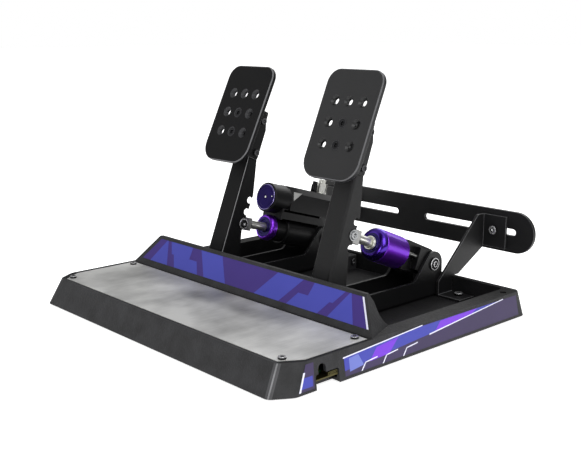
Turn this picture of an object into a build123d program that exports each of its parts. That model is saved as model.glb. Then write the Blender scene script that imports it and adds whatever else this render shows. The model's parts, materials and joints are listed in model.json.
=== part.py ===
from build123d import *
import math
import os

os.makedirs("parts", exist_ok=True)

# Lengths are in millimetres and angles in degrees. Depths are counted rearward from the
# shell's front edge and heights upward from its lower edge; level(), flank() and wall()
# turn them into the part's frame, whose origin is on the floor under the middle of the set.

# Base shell
base_width = 400.0
base_depth = 349.5
deck_height = 27.0
side_inset = 4.3
rear_flare = 6.0
front_inset = 14.7
corner_cut_across = 12.9
corner_cut_along = 20.5
rear_corner_radius = 8.0
shell_wall = 3.6
bottom_lip = 1.8
deck_skin = 2.5
edge_break = 0.8

# Toe riser, placed by the tray's front and the base's sides
riser_height = 32.1
riser_foot_ahead = 28.1
riser_foot_lap = 12.0
riser_foot_margin = 5.7
riser_crest_ahead = 8.1
riser_crest_rear_ahead = 4.5
riser_crest_margin = 32.1
riser_crest_rear_margin = 33.55
riser_wall = 4.8
riser_hollow_share = 0.72

# Rear tray and the screw recesses in its rim
tray_margin = 21.8
rear_wall = 6.5
tray_floor = 7.5
tray_corner_radius = 6.0
rim_screw_margin = 13.0
rim_screw_ahead = 19.5
rim_recess_radius = 3.6
rim_recess_depth = 2.6

# Base plate, its screws and the rubber feet
plate_sheet = 3.0
plate_recess = 3.2
plate_gap = 0.3
floor_gap = 1.5
foot_radius = 11.0
foot_margin = 35.0
front_foot_setback = 48.0
middle_foot_behind_tray_front = 22.0
rear_foot_ahead = 31.5
deck_screw_margin = 80.0
front_screw_setback = 35.0
riser_screw_ahead = 38.0
rear_screw_margin = 50.0
rear_screw_ahead = 24.5
boss_radius = 4.5

# Heel plate
heel_margin = 9.5
heel_front = 19.5
heel_riser_gap = 3.4
heel_sheet = 1.5
heel_pocket = 1.7
heel_groove = 1.2
heel_boss_drop = 5.5
heel_front_screw_margin = 14.5
heel_front_screw_setback = 7.2
heel_rear_screw_margin = 8.9
heel_rear_screw_ahead = 6.9

# Port in the right wall
port_front = 45.0
port_length = 28.0
port_height = 13.0
port_corner = 2.0
arch_front = 48.5
arch_width = 9.5
arch_top = 21.4
port_reach = 10.0
port_sheet = 1.5
port_shelf_length = 46.0
port_shelf_setback = 2.5
port_shelf_rise = 3.7
port_leg_foot = 6.0
socket_depth_place = 66.0
socket_width = 11.0
socket_height = 3.2
socket_length = 9.0
socket_wall = 0.6
socket_tongue = 0.8
board_length = 54.0
board_width = 30.0
board_thickness = 1.6

# Small box at the back of the tray
box_across = -48.0
box_width = 24.0
box_rear_gap = 2.0
box_length = 15.0
box_height = 18.5
box_wall = 2.2
box_break = 1.6
box_screw_setback = 8.0
box_screw_height = 10.6

# Steel channels and the trunnion ears at their rear
brake_across = -88.6
throttle_across = 84.5
channel_width = 43.5
channel_sheet = 3.0
channel_bend = 1.5
channel_front_gap = 2.0
channel_rear_gap = 14.7
channel_top = 30.0
trunnion_behind_pivot = 151.3
trunnion_height = 45.3
ear_radius = 14.0
ear_foot_ahead = 31.6
ear_blend = 8.0
channel_screw_across = 10.0
channel_screw_behind_pivot = 32.0
channel_screw_ahead_of_trunnion = 29.3

# Pedal pivots
pivot_behind_tray_front = 15.0
pivot_height = 21.5
pivot_radius = 4.0

# Pedal arms, in their own frame: x rearward from the pivot, y up along the arm
brake_lean_angle = 21.3
throttle_lean_angle = 18.9
arm_width = 27.0
arm_sheet = 2.5
arm_bend = 0.8
arm_front = 13.5
arm_chin = 14.0
arm_top = 196.0
arm_tip_rear = -2.5
arm_neck_rear = -1.5
arm_neck_height = 143.0
arm_shoulder_rear = 8.5
arm_shoulder_height = 100.0
arm_rack_rear = 6.0
arm_rack_height = 57.0
arm_heel_rear = 13.0
arm_heel_top = 28.0
arm_heel_foot = 8.0
arm_corner = 2.0
arm_lobe = 9.5
notch_rear = 5.8
notch_radius = 4.1
notch_first = 65.5
notch_pitch = 14.0
notch_count = 3
bush_radius = 6.0
bush_collar_radius = 7.5
bush_side_gap = 0.25

# Face plates and the folded brackets behind them
face_width = 77.0
face_rise = 57.0
face_drop = 58.5
face_thickness = 5.5
face_top_radius = 15.0
face_bottom_radius = 20.0
face_ahead = 35.3
face_height = 185.0
face_tilt_angle = 4.6
face_hole_across = 19.2
face_hole_up = 23.0
face_hole_radius = 3.3
face_sink_radius = 5.6
sink_angle = 90
bracket_sheet = 2.5
bracket_bend = 1.5
bracket_side_gap = 0.1
bracket_top = 11.5
bracket_bottom = -43.0
bracket_tip = 27.0
bracket_waist = 34.5
bracket_waist_height = -7.0
bracket_foot = 36.5
bracket_corner = 3.0
head_screw_places = ((-9.0, 184.0), (-7.0, 147.0))

# Linkage: pin, clevis, rod and piston, in a frame whose x runs from the pin to the trunnion
pin_radius = 3.5
pin_head_radius = 4.75
pin_head = 2.2
pin_side_gap = 0.4
pin_seat_gap = 0.3
clevis_height = 15.0
clevis_width = 16.0
clevis_length = 18.0
clevis_barrel_radius = 6.5
clevis_side_gap = 0.3
clevis_break = 1.0
rod_radius = 5.0
rod_bury = 8.0
rod_into_piston = 5.0
piston_length = 8.0
piston_groove = 2.0
piston_groove_depth = 1.6

# Throttle damper
damper_nose_front = 41.0
damper_collar_radius = 7.5
damper_collar_length = 3.0
damper_nose_shoulder = 7.0
damper_nose_rim = 0.5
damper_radius = 18.0
damper_bore = 15.5
damper_tube_length = 38.5
damper_rear_wall = 3.0
damper_spigot = 3.0
damper_piston_front = 55.5
damper_block_height = 33.0
damper_block_width = 22.0
damper_stud_radius = 2.1
damper_stud_lap = 2.0
damper_stud_across = 14.7
damper_stud_up = 2.0
eye_radius = 15.5
hub_radius = 12.5
hub_front = 105.0
hub_side_gap = 0.3

# Brake cylinder
gland_front = 44.0
gland_rear = 53.0
gland_radius = 15.5
gland_spigot = 3.0
cylinder_radius = 14.5
cylinder_bore = 9.0
barrel_front = 69.0
barrel_rear = 118.0
barrel_radius = 17.0
bore_end = 86.0
brake_piston_front = 59.0
band_front = 53.5
band_rear = 118.0
band_bottom = 12.5
band_top = 26.0
band_width = 33.0
reservoir_front = 38.0
reservoir_up = 35.5
reservoir_radius = 17.5
reservoir_bore = 16.0
cap_radius = 15.5
cap_recess = 3.0
cap_thickness = 4.0
block_front = 64.0
block_rear = 138.0
block_bottom = 25.0
block_top = 53.5
block_width = 36.0
block_bevel = 7.0
facet_back = 15.0
facet_in = 8.0
facet_head = 48.0
facet_foot = 37.0
facet_foot_back = 3.0
sensor_place = 126.0
sensor_across_flats = 13.0
sensor_hex = 12.0
sensor_neck_radius = 4.5
sensor_neck = 4.5
sensor_thread_radius = 4.0
sensor_thread = 6.0
sensor_washer_radius = 7.5
sensor_washer = 1.0

# Rubber springs inside both units
spring_gap = 0.3
spring_waves = 3
spring_waist_share = 0.78
throttle_spring_radius = 13.5
brake_spring_radius = 8.4

# Rear mounting plate and its two bent brackets
rear_plate_behind_base = 50.5
rear_plate_sheet = 4.0
rear_plate_length = 352.0
rear_plate_height = 47.0
rear_plate_centre = 74.5
rear_slot_length = 131.5
rear_slot_width = 7.6
rear_slot_spacing = 173.5
rear_bracket_sheet = 3.0
rear_bracket_left_inner = 113.0
rear_bracket_right_inner = 108.0
rear_bracket_width = 33.0
rear_bracket_foot_length = 24.5
rear_bracket_wall_gap = 1.0
rear_bracket_toe_height = 25.0
rear_bracket_rim_gap = 1.2
rear_bracket_behind_base = 3.0
rear_bracket_head_length = 14.0
rear_bracket_head_foot = 54.5
rear_bracket_head_top = 91.5
rear_bracket_bend = 2.0
foot_screw_from_web = 19.0
foot_screw_ahead = 9.0
slot_bolt_washer_radius = 8.0
slot_bolt_washer = 1.2

# Fasteners: shank radius, head radius and head height of each thread
m4_radius = 2.0
m4_head_radius = 3.8
m4_head = 2.2
m5_radius = 2.5
m5_head_radius = 4.75
m5_head = 2.6
m6_radius = 3.0
m6_nut_flats = 10.0
m6_nut = 5.0
m8_radius = 4.0
m8_head_radius = 7.0
m8_head = 3.2
m8_nut_flats = 13.0
m8_nut = 6.5
short_screw_length = 6.4
socket_share = 0.55
socket_depth_share = 0.6
sunk_socket_share = 0.85
head_break_share = 0.35

# Clearances and the overrun of every cut
running_gap = 0.05
screw_gap = 0.1
overrun = 2.0

# Sizes worked out from those above
base_half = base_width / 2
tray_width = base_width - 2 * tray_margin
tray_half = tray_width / 2
tray_rear = base_depth - rear_wall
tray_length = pivot_behind_tray_front + trunnion_behind_pivot + ear_radius + channel_rear_gap
tray_front = tray_rear - tray_length
rim_screw_across = base_half - rim_screw_margin
rim_screw_depth = base_depth - rim_screw_ahead
riser_foot_front = tray_front - riser_foot_ahead
riser_foot_rear = tray_front + riser_foot_lap
riser_foot_width = base_width - 2 * riser_foot_margin
riser_crest_front = tray_front - riser_crest_ahead
riser_crest_rear = tray_front - riser_crest_rear_ahead
riser_crest_width = base_width - 2 * riser_crest_margin
riser_crest_rear_width = base_width - 2 * riser_crest_rear_margin
heel_width = base_width - 2 * heel_margin
heel_rear = riser_foot_front - heel_riser_gap
heel_screw_places = (
    (heel_width / 2 - heel_front_screw_margin, heel_front + heel_front_screw_setback),
    (heel_width / 2 - heel_rear_screw_margin, heel_rear - heel_rear_screw_ahead),
)
foot_across = base_half - foot_margin
foot_depths = (
    front_foot_setback,
    tray_front + middle_foot_behind_tray_front,
    base_depth - rear_foot_ahead,
)
deck_screw_places = (
    (base_half - deck_screw_margin, front_screw_setback),
    (base_half - deck_screw_margin, tray_front - riser_screw_ahead),
)
rim_plate_screw = (base_half - rear_screw_margin, base_depth - rear_screw_ahead)
plate_screw_places = (*deck_screw_places, rim_plate_screw)
box_front = tray_rear - box_rear_gap - box_length
box_side = box_across + box_width / 2
box_screw_at = (box_front + box_screw_setback, tray_floor + box_screw_height)
pivot_depth = tray_front + pivot_behind_tray_front
trunnion_depth = pivot_depth + trunnion_behind_pivot
channel_front = tray_front + channel_front_gap
ear_foot = trunnion_depth - ear_foot_ahead
channel_screw_depths = (
    pivot_depth + channel_screw_behind_pivot,
    trunnion_depth - channel_screw_ahead_of_trunnion,
)
damper_face = damper_nose_front + damper_collar_length
damper_shoulder_end = damper_face + damper_nose_shoulder
damper_tube_front = damper_shoulder_end + damper_nose_rim
damper_rear = damper_tube_front + damper_tube_length
rear_plate_front = base_depth + rear_plate_behind_base
rear_bracket_foot_rear = tray_rear - rear_bracket_wall_gap
rear_bracket_foot_front = rear_bracket_foot_rear - rear_bracket_foot_length
rear_bracket_heel_height = deck_height + rear_bracket_rim_gap
rear_bracket_heel_depth = base_depth + rear_bracket_behind_base
rear_bracket_head_front = rear_plate_front - rear_bracket_head_length
foot_screw_depth = rear_bracket_foot_rear - foot_screw_ahead
rear_bracket_webs = {-1: rear_bracket_left_inner, 1: rear_bracket_right_inner}
hollow_top = deck_height - heel_pocket - deck_skin
plate_bottom = plate_recess - plate_sheet
channel_floor = tray_floor + channel_sheet
channel_rear = trunnion_depth + ear_radius
channel_inner = channel_width / 2 - channel_sheet
arm_half = arm_width / 2
arm_inner = arm_half - arm_sheet
slot_bolt_stack = slot_bolt_washer + m6_nut
overall_depth = rear_plate_front + rear_plate_sheet + slot_bolt_stack
front_y = -overall_depth / 2


def level(height):
    """Level plane at a height above the shell's lower edge; y runs rearward."""
    return Plane(origin=(0, front_y, floor_gap + height))


def underside(height):
    """Level plane that faces the floor; x to the right, y runs to the front."""
    return Plane(origin=(0, front_y, floor_gap + height), x_dir=(1, 0, 0), z_dir=(0, 0, -1))


def flank(across):
    """Upright plane along the set at a distance right of its middle; x rearward, y up."""
    return Plane(origin=(across, front_y, floor_gap), x_dir=(0, 1, 0), z_dir=(1, 0, 0))


def wall(depth):
    """Upright plane across the set that faces the driver; x to the right, y up."""
    return Plane(origin=(0, front_y + depth, floor_gap), x_dir=(1, 0, 0), z_dir=(0, -1, 0))


def leaning(across, depth, height, angle):
    """Upright plane along the set, turned so that its y leans rearward by an angle."""
    turn = math.radians(angle)
    return Plane(
        origin=(across, front_y + depth, floor_gap + height),
        x_dir=(0, math.cos(turn), -math.sin(turn)),
        z_dir=(1, 0, 0),
    )


def moved_along(plane, x, y):
    """The same plane with its origin at a point of its own."""
    return Plane(origin=plane.from_local_coords((x, y, 0)), x_dir=plane.x_dir, z_dir=plane.z_dir)


def across_plane(plane, y):
    """Plane square to a leaning plane's y: x to the right, y along the leaning plane's x."""
    return Plane(origin=plane.from_local_coords((0, y, 0)), x_dir=(1, 0, 0), z_dir=plane.y_dir)


def facing_along(plane, x):
    """Plane square to a leaning plane's x and facing down it; x to the left."""
    return Plane(origin=plane.from_local_coords((x, 0, 0)), x_dir=(-1, 0, 0), z_dir=plane.x_dir)


def plan_outline(half_width, front, rear):
    """Plan of the base: a rectangle with its two front corners cut."""
    return (
        (-half_width, rear),
        (-half_width, front + corner_cut_along),
        (-half_width + corner_cut_across, front),
        (half_width - corner_cut_across, front),
        (half_width, front + corner_cut_along),
        (half_width, rear),
    )


def hollow_outline(height):
    """Plan of the deck's hollow at a height, one wall inside the drafted faces."""
    share = height / deck_height
    half_width = base_half - side_inset * share - shell_wall
    return plan_outline(half_width, front_inset * share + shell_wall, tray_front - shell_wall)


def flipped(places):
    """The same places as an underside plane counts them."""
    return [(across, -depth) for across, depth in places]


def both_sides(places):
    """Mirror a list of places about the middle of the set."""
    return [(side * across, depth) for across, depth in places for side in (-1, 1)]


def bolts(plane, places, radius, head_radius, head, length):
    """Bolts with a hex socket: heads stand on the plane and shanks go down through it."""
    with BuildPart(plane) as group:
        with Locations(*places):
            Cylinder(radius, length, align=(Align.CENTER, Align.CENTER, Align.MAX))
            Cylinder(head_radius, head, align=(Align.CENTER, Align.CENTER, Align.MIN))
        chamfer(group.edges().group_by(Axis(plane.origin, plane.z_dir))[-1], head * head_break_share)
        with BuildSketch(plane.offset(head)):
            with Locations(*places):
                RegularPolygon(head_radius * socket_share, 6)
        extrude(amount=-head * socket_depth_share, mode=Mode.SUBTRACT)
    return group


def sunk_screws(plane, places, radius, head_radius, length):
    """Countersunk screws with a hex socket, their heads flush with the plane."""
    with BuildPart(plane) as group:
        with Locations(*places):
            Cylinder(radius, length, align=(Align.CENTER, Align.CENTER, Align.MAX))
            Cone(radius, head_radius, head_radius - radius, align=(Align.CENTER, Align.CENTER, Align.MAX))
        with BuildSketch(plane):
            with Locations(*places):
                RegularPolygon(radius * sunk_socket_share, 6)
        extrude(amount=-(head_radius - radius) * socket_depth_share, mode=Mode.SUBTRACT)
    return group


def hex_nuts(plane, places, radius, flats, height):
    """Hex nuts that stand on the plane."""
    with BuildPart() as group:
        with BuildSketch(plane):
            with Locations(*places):
                RegularPolygon(flats / 2, 6, major_radius=False)
                Circle(radius + screw_gap, mode=Mode.SUBTRACT)
        extrude(amount=height)
    return group


# Base shell: one moulding of deck, riser, rims and tray, hollow from below
with BuildPart() as base_shell:
    with BuildSketch(level(0)):
        Polygon(*plan_outline(base_half, 0, base_depth + rear_flare), align=None)
    with BuildSketch(level(deck_height)):
        Polygon(*plan_outline(base_half - side_inset, front_inset, base_depth), align=None)
    loft(ruled=True)
    rear_face = base_shell.faces().sort_by(Axis.Y)[-1]
    fillet(rear_face.edges().filter_by(Axis.X, reverse=True), rear_corner_radius)

    with BuildSketch(level(deck_height)):
        Polygon(
            (-riser_foot_width / 2, riser_foot_front),
            (riser_foot_width / 2, riser_foot_front),
            (tray_half, riser_foot_rear),
            (-tray_half, riser_foot_rear),
            align=None,
        )
    with BuildSketch(level(deck_height + riser_height)):
        Polygon(
            (-riser_crest_width / 2, riser_crest_front),
            (riser_crest_width / 2, riser_crest_front),
            (riser_crest_rear_width / 2, riser_crest_rear),
            (-riser_crest_rear_width / 2, riser_crest_rear),
            align=None,
        )
    loft(ruled=True)

    # tray behind the riser, then the pocket of the heel plate
    with BuildSketch(level(tray_floor)):
        with Locations((0, (tray_front + tray_rear) / 2)):
            RectangleRounded(tray_width, tray_rear - tray_front, tray_corner_radius)
    extrude(amount=deck_height + riser_height, mode=Mode.SUBTRACT)
    with BuildSketch(level(deck_height)):
        Polygon(
            *plan_outline(heel_width / 2 + heel_groove, heel_front - heel_groove, heel_rear + heel_groove),
            align=None,
        )
    extrude(amount=-heel_pocket, mode=Mode.SUBTRACT)

    # hollows of the deck, the riser and the two side rims
    with BuildSketch(level(plate_recess)):
        Polygon(*hollow_outline(plate_recess), align=None)
    with BuildSketch(level(hollow_top)):
        Polygon(*hollow_outline(hollow_top), align=None)
    loft(ruled=True, mode=Mode.SUBTRACT)
    riser_hollow_height = riser_height * riser_hollow_share
    riser_hollow_front = riser_foot_front + riser_wall
    riser_hollow_lean = (riser_crest_front - riser_foot_front) * riser_hollow_share
    with BuildSketch(level(hollow_top - overrun)):
        Polygon(
            (-tray_half, riser_hollow_front),
            (tray_half, riser_hollow_front),
            (tray_half, tray_front - riser_wall),
            (-tray_half, tray_front - riser_wall),
            align=None,
        )
    riser_hollow_half = riser_crest_width / 2 - riser_wall
    with BuildSketch(level(deck_height + riser_hollow_height)):
        Polygon(
            (-riser_hollow_half, riser_hollow_front + riser_hollow_lean),
            (riser_hollow_half, riser_hollow_front + riser_hollow_lean),
            (riser_hollow_half, tray_front - riser_wall),
            (-riser_hollow_half, tray_front - riser_wall),
            align=None,
        )
    loft(ruled=True, mode=Mode.SUBTRACT)
    rim_hollow_top = deck_height - shell_wall
    for side in (-1, 1):
        for height in (plate_recess, rim_hollow_top):
            outer = base_half - side_inset * height / deck_height - shell_wall
            with BuildSketch(level(height)):
                Polygon(
                    (side * (tray_half + shell_wall), tray_front + shell_wall),
                    (side * outer, tray_front + shell_wall),
                    (side * outer, tray_rear - shell_wall),
                    (side * (tray_half + shell_wall), tray_rear - shell_wall),
                    align=None,
                )
        loft(ruled=True, mode=Mode.SUBTRACT)

    # screw bosses that hang from the deck, short under the heel plate; recess of the base plate
    for places, foot in ((deck_screw_places, plate_recess), (heel_screw_places, hollow_top - heel_boss_drop)):
        with BuildSketch(level(hollow_top + deck_skin / 2)):
            with Locations(*both_sides(places)):
                Circle(boss_radius)
        extrude(amount=foot - hollow_top - deck_skin / 2)
    with BuildSketch(level(0)) as recess:
        Polygon(*plan_outline(base_half - bottom_lip, bottom_lip, base_depth - bottom_lip), align=None)
        fillet(recess.vertices().group_by(Axis.Y)[-1], rear_corner_radius - bottom_lip)
    extrude(amount=plate_recess, mode=Mode.SUBTRACT)

    # port in the right wall: a low notch with an arch over its front end
    with BuildSketch(flank(base_half - port_reach)):
        with BuildLine():
            FilletPolyline(
                (port_front, 0),
                (port_front, port_height),
                (port_front + port_length, port_height),
                (port_front + port_length, 0),
                radius=(port_corner, port_corner),
            )
            Line((port_front + port_length, 0), (port_front, 0))
        make_face()
        with Locations((arch_front + arch_width / 2, port_height)):
            Rectangle(arch_width, arch_top - port_height - arch_width / 2, align=(Align.CENTER, Align.MIN))
        with Locations((arch_front + arch_width / 2, arch_top - arch_width / 2)):
            Circle(arch_width / 2)
    extrude(amount=port_reach + overrun, mode=Mode.SUBTRACT)

    # screw holes: heel plate, base plate, channels and rear brackets, and the rim recesses
    with BuildSketch(level(deck_height)):
        with Locations(*both_sides(heel_screw_places)):
            Circle(m4_radius + screw_gap)
    extrude(amount=-heel_pocket - short_screw_length - overrun, mode=Mode.SUBTRACT)
    with BuildSketch(level(plate_recess)):
        with Locations(*both_sides(plate_screw_places)):
            Circle(m4_radius + screw_gap)
    extrude(amount=short_screw_length - plate_sheet + running_gap, mode=Mode.SUBTRACT)
    channel_screws_at = [
        (pedal + side * channel_screw_across, depth)
        for pedal in (brake_across, throttle_across)
        for side in (-1, 1)
        for depth in channel_screw_depths
    ]
    foot_screws_at = [
        (side * (web + foot_screw_from_web), foot_screw_depth)
        for side, web in rear_bracket_webs.items()
    ]
    with BuildSketch(level(0)):
        with Locations(*channel_screws_at, *foot_screws_at):
            Circle(m5_radius + screw_gap)
    extrude(amount=tray_floor + overrun, mode=Mode.SUBTRACT)
    with BuildSketch(level(deck_height)):
        with Locations(*both_sides(((rim_screw_across, rim_screw_depth),))):
            Circle(rim_recess_radius)
    extrude(amount=-rim_recess_depth, mode=Mode.SUBTRACT)

base_shell.part.label = "base_shell"
export_step(base_shell.part, "parts/base_shell.step")

# Base plate: flat steel sheet that closes the shell, notched at the port
with BuildPart() as base_plate:
    plate_inset = bottom_lip + plate_gap
    with BuildSketch(level(plate_bottom)) as plate_plan:
        Polygon(*plan_outline(base_half - plate_inset, plate_inset, base_depth - plate_inset), align=None)
        fillet(plate_plan.vertices().group_by(Axis.Y)[-1], rear_corner_radius - plate_inset)
        with Locations((base_half, port_front + port_length / 2)):
            Rectangle(2 * port_reach, port_length, mode=Mode.SUBTRACT)
        with Locations(*channel_screws_at, *foot_screws_at):
            Circle(m5_radius + screw_gap, mode=Mode.SUBTRACT)
    extrude(amount=plate_sheet)
    with Locations(underside(plate_bottom)):
        with Locations(*flipped(both_sides(plate_screw_places))):
            CounterSinkHole(m4_radius + screw_gap, m4_head_radius + screw_gap, counter_sink_angle=sink_angle)
base_plate.part.label = "base_plate"
export_step(base_plate.part, "parts/base_plate.step")

# Base plate screws: countersunk from below into the shell
base_plate_screws = sunk_screws(
    underside(plate_bottom),
    flipped(both_sides(plate_screw_places)),
    m4_radius,
    m4_head_radius,
    short_screw_length,
)
base_plate_screws.part.label = "base_plate_screws"
export_step(base_plate_screws.part, "parts/base_plate_screws.step")

# Rubber feet: six pads glued under the base plate
with BuildPart() as rubber_feet:
    with BuildSketch(level(plate_bottom)):
        with Locations(*both_sides([(foot_across, depth) for depth in foot_depths])):
            Circle(foot_radius)
    extrude(amount=-plate_bottom - floor_gap)
    chamfer(rubber_feet.edges().group_by(Axis.Z)[0], edge_break)
rubber_feet.part.label = "rubber_feet"
export_step(rubber_feet.part, "parts/rubber_feet.step")

# Heel plate: thin stainless sheet with the base's plan, laid in its pocket
with BuildPart() as heel_plate:
    with BuildSketch(level(deck_height - heel_pocket)):
        Polygon(*plan_outline(heel_width / 2, heel_front, heel_rear), align=None)
        with Locations(*both_sides(heel_screw_places)):
            Circle(m4_radius + screw_gap, mode=Mode.SUBTRACT)
    extrude(amount=heel_sheet)
heel_plate.part.label = "heel_plate"
export_step(heel_plate.part, "parts/heel_plate.step")

heel_plate_screws = bolts(
    level(deck_height - heel_pocket + heel_sheet),
    both_sides(heel_screw_places),
    m4_radius,
    m4_head_radius,
    m4_head,
    heel_sheet + short_screw_length,
)
heel_plate_screws.part.label = "heel_plate_screws"
export_step(heel_plate_screws.part, "parts/heel_plate_screws.step")

# Port: a bent shelf on the base plate carries the socket, with the circuit board behind it
shelf_outer = base_half - port_shelf_setback
shelf_bottom = plate_recess + port_shelf_rise
shelf_top = shelf_bottom + port_sheet
socket_inner = shelf_outer - socket_length
with BuildPart() as port_bracket:
    with BuildSketch(level(shelf_bottom)):
        with Locations((shelf_outer, port_front + port_length / 2)):
            Rectangle(port_shelf_length, port_length - 2 * plate_gap, align=(Align.MAX, Align.CENTER))
    extrude(amount=port_sheet)
    with BuildSketch(level(plate_recess)):
        with Locations((shelf_outer - port_shelf_length, port_front + port_length / 2)):
            Rectangle(port_leg_foot, port_length - 2 * plate_gap, align=(Align.MIN, Align.CENTER))
    extrude(amount=port_shelf_rise)
    with BuildSketch(level(shelf_top)):
        with Locations((socket_inner, arch_front + arch_width / 2)):
            Rectangle(port_sheet, arch_width, align=(Align.MAX, Align.CENTER))
    extrude(amount=arch_top - arch_width / 2 - shelf_top)
port_bracket.part.label = "port_bracket"
export_step(port_bracket.part, "parts/port_bracket.step")

with BuildPart() as usb_socket:
    with BuildSketch(flank(socket_inner)):
        with Locations((socket_depth_place, shelf_top + socket_height / 2)):
            RectangleRounded(socket_width, socket_height, socket_height / 2 - socket_wall)
    extrude(amount=socket_length)
    with BuildSketch(flank(socket_inner + socket_wall)):
        with Locations((socket_depth_place, shelf_top + socket_height / 2)):
            RectangleRounded(
                socket_width - 2 * socket_wall,
                socket_height - 2 * socket_wall,
                socket_height / 2 - 2 * socket_wall,
            )
            Rectangle(socket_width - socket_height, socket_tongue, mode=Mode.SUBTRACT)
    extrude(amount=socket_length, mode=Mode.SUBTRACT)
usb_socket.part.label = "usb_socket"
export_step(usb_socket.part, "parts/usb_socket.step")

with BuildPart() as controller_board:
    with BuildSketch(level(shelf_top)):
        with Locations((socket_inner - port_sheet - plate_gap, port_front + port_length / 2)):
            Rectangle(board_length, board_width, align=(Align.MAX, Align.CENTER))
    extrude(amount=board_thickness)
controller_board.part.label = "controller_board"
export_step(controller_board.part, "parts/controller_board.step")

# Small box at the back of the tray with one screw in its right side
with BuildPart() as rear_box:
    with BuildSketch(level(tray_floor)):
        with Locations((box_across, box_front + box_length / 2)):
            RectangleRounded(box_width, box_length, box_break)
    extrude(amount=box_height)
    fillet(rear_box.edges().group_by(Axis.Z)[-1], box_break - running_gap)
    with BuildSketch(level(tray_floor)):
        with Locations((box_across, box_front + box_length / 2)):
            Rectangle(box_width - 2 * box_wall, box_length - 2 * box_wall)
    extrude(amount=box_height - box_wall, mode=Mode.SUBTRACT)
    with BuildSketch(flank(box_side)):
        with Locations(box_screw_at):
            Circle(m4_radius + screw_gap)
    extrude(amount=-box_wall - overrun, mode=Mode.SUBTRACT)
rear_box.part.label = "rear_box"
export_step(rear_box.part, "parts/rear_box.step")

rear_box_screw = bolts(
    flank(box_side),
    [box_screw_at],
    m4_radius,
    m4_head_radius,
    m4_head,
    short_screw_length,
)
rear_box_screw.part.label = "rear_box_screw"
export_step(rear_box_screw.part, "parts/rear_box_screw.step")

# The two pedals: distance right of the middle, lean of the arm, notch that holds the pin
pedals = {
    "brake": (brake_across, brake_lean_angle, 0),
    "throttle": (throttle_across, throttle_lean_angle, 1),
}

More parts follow.
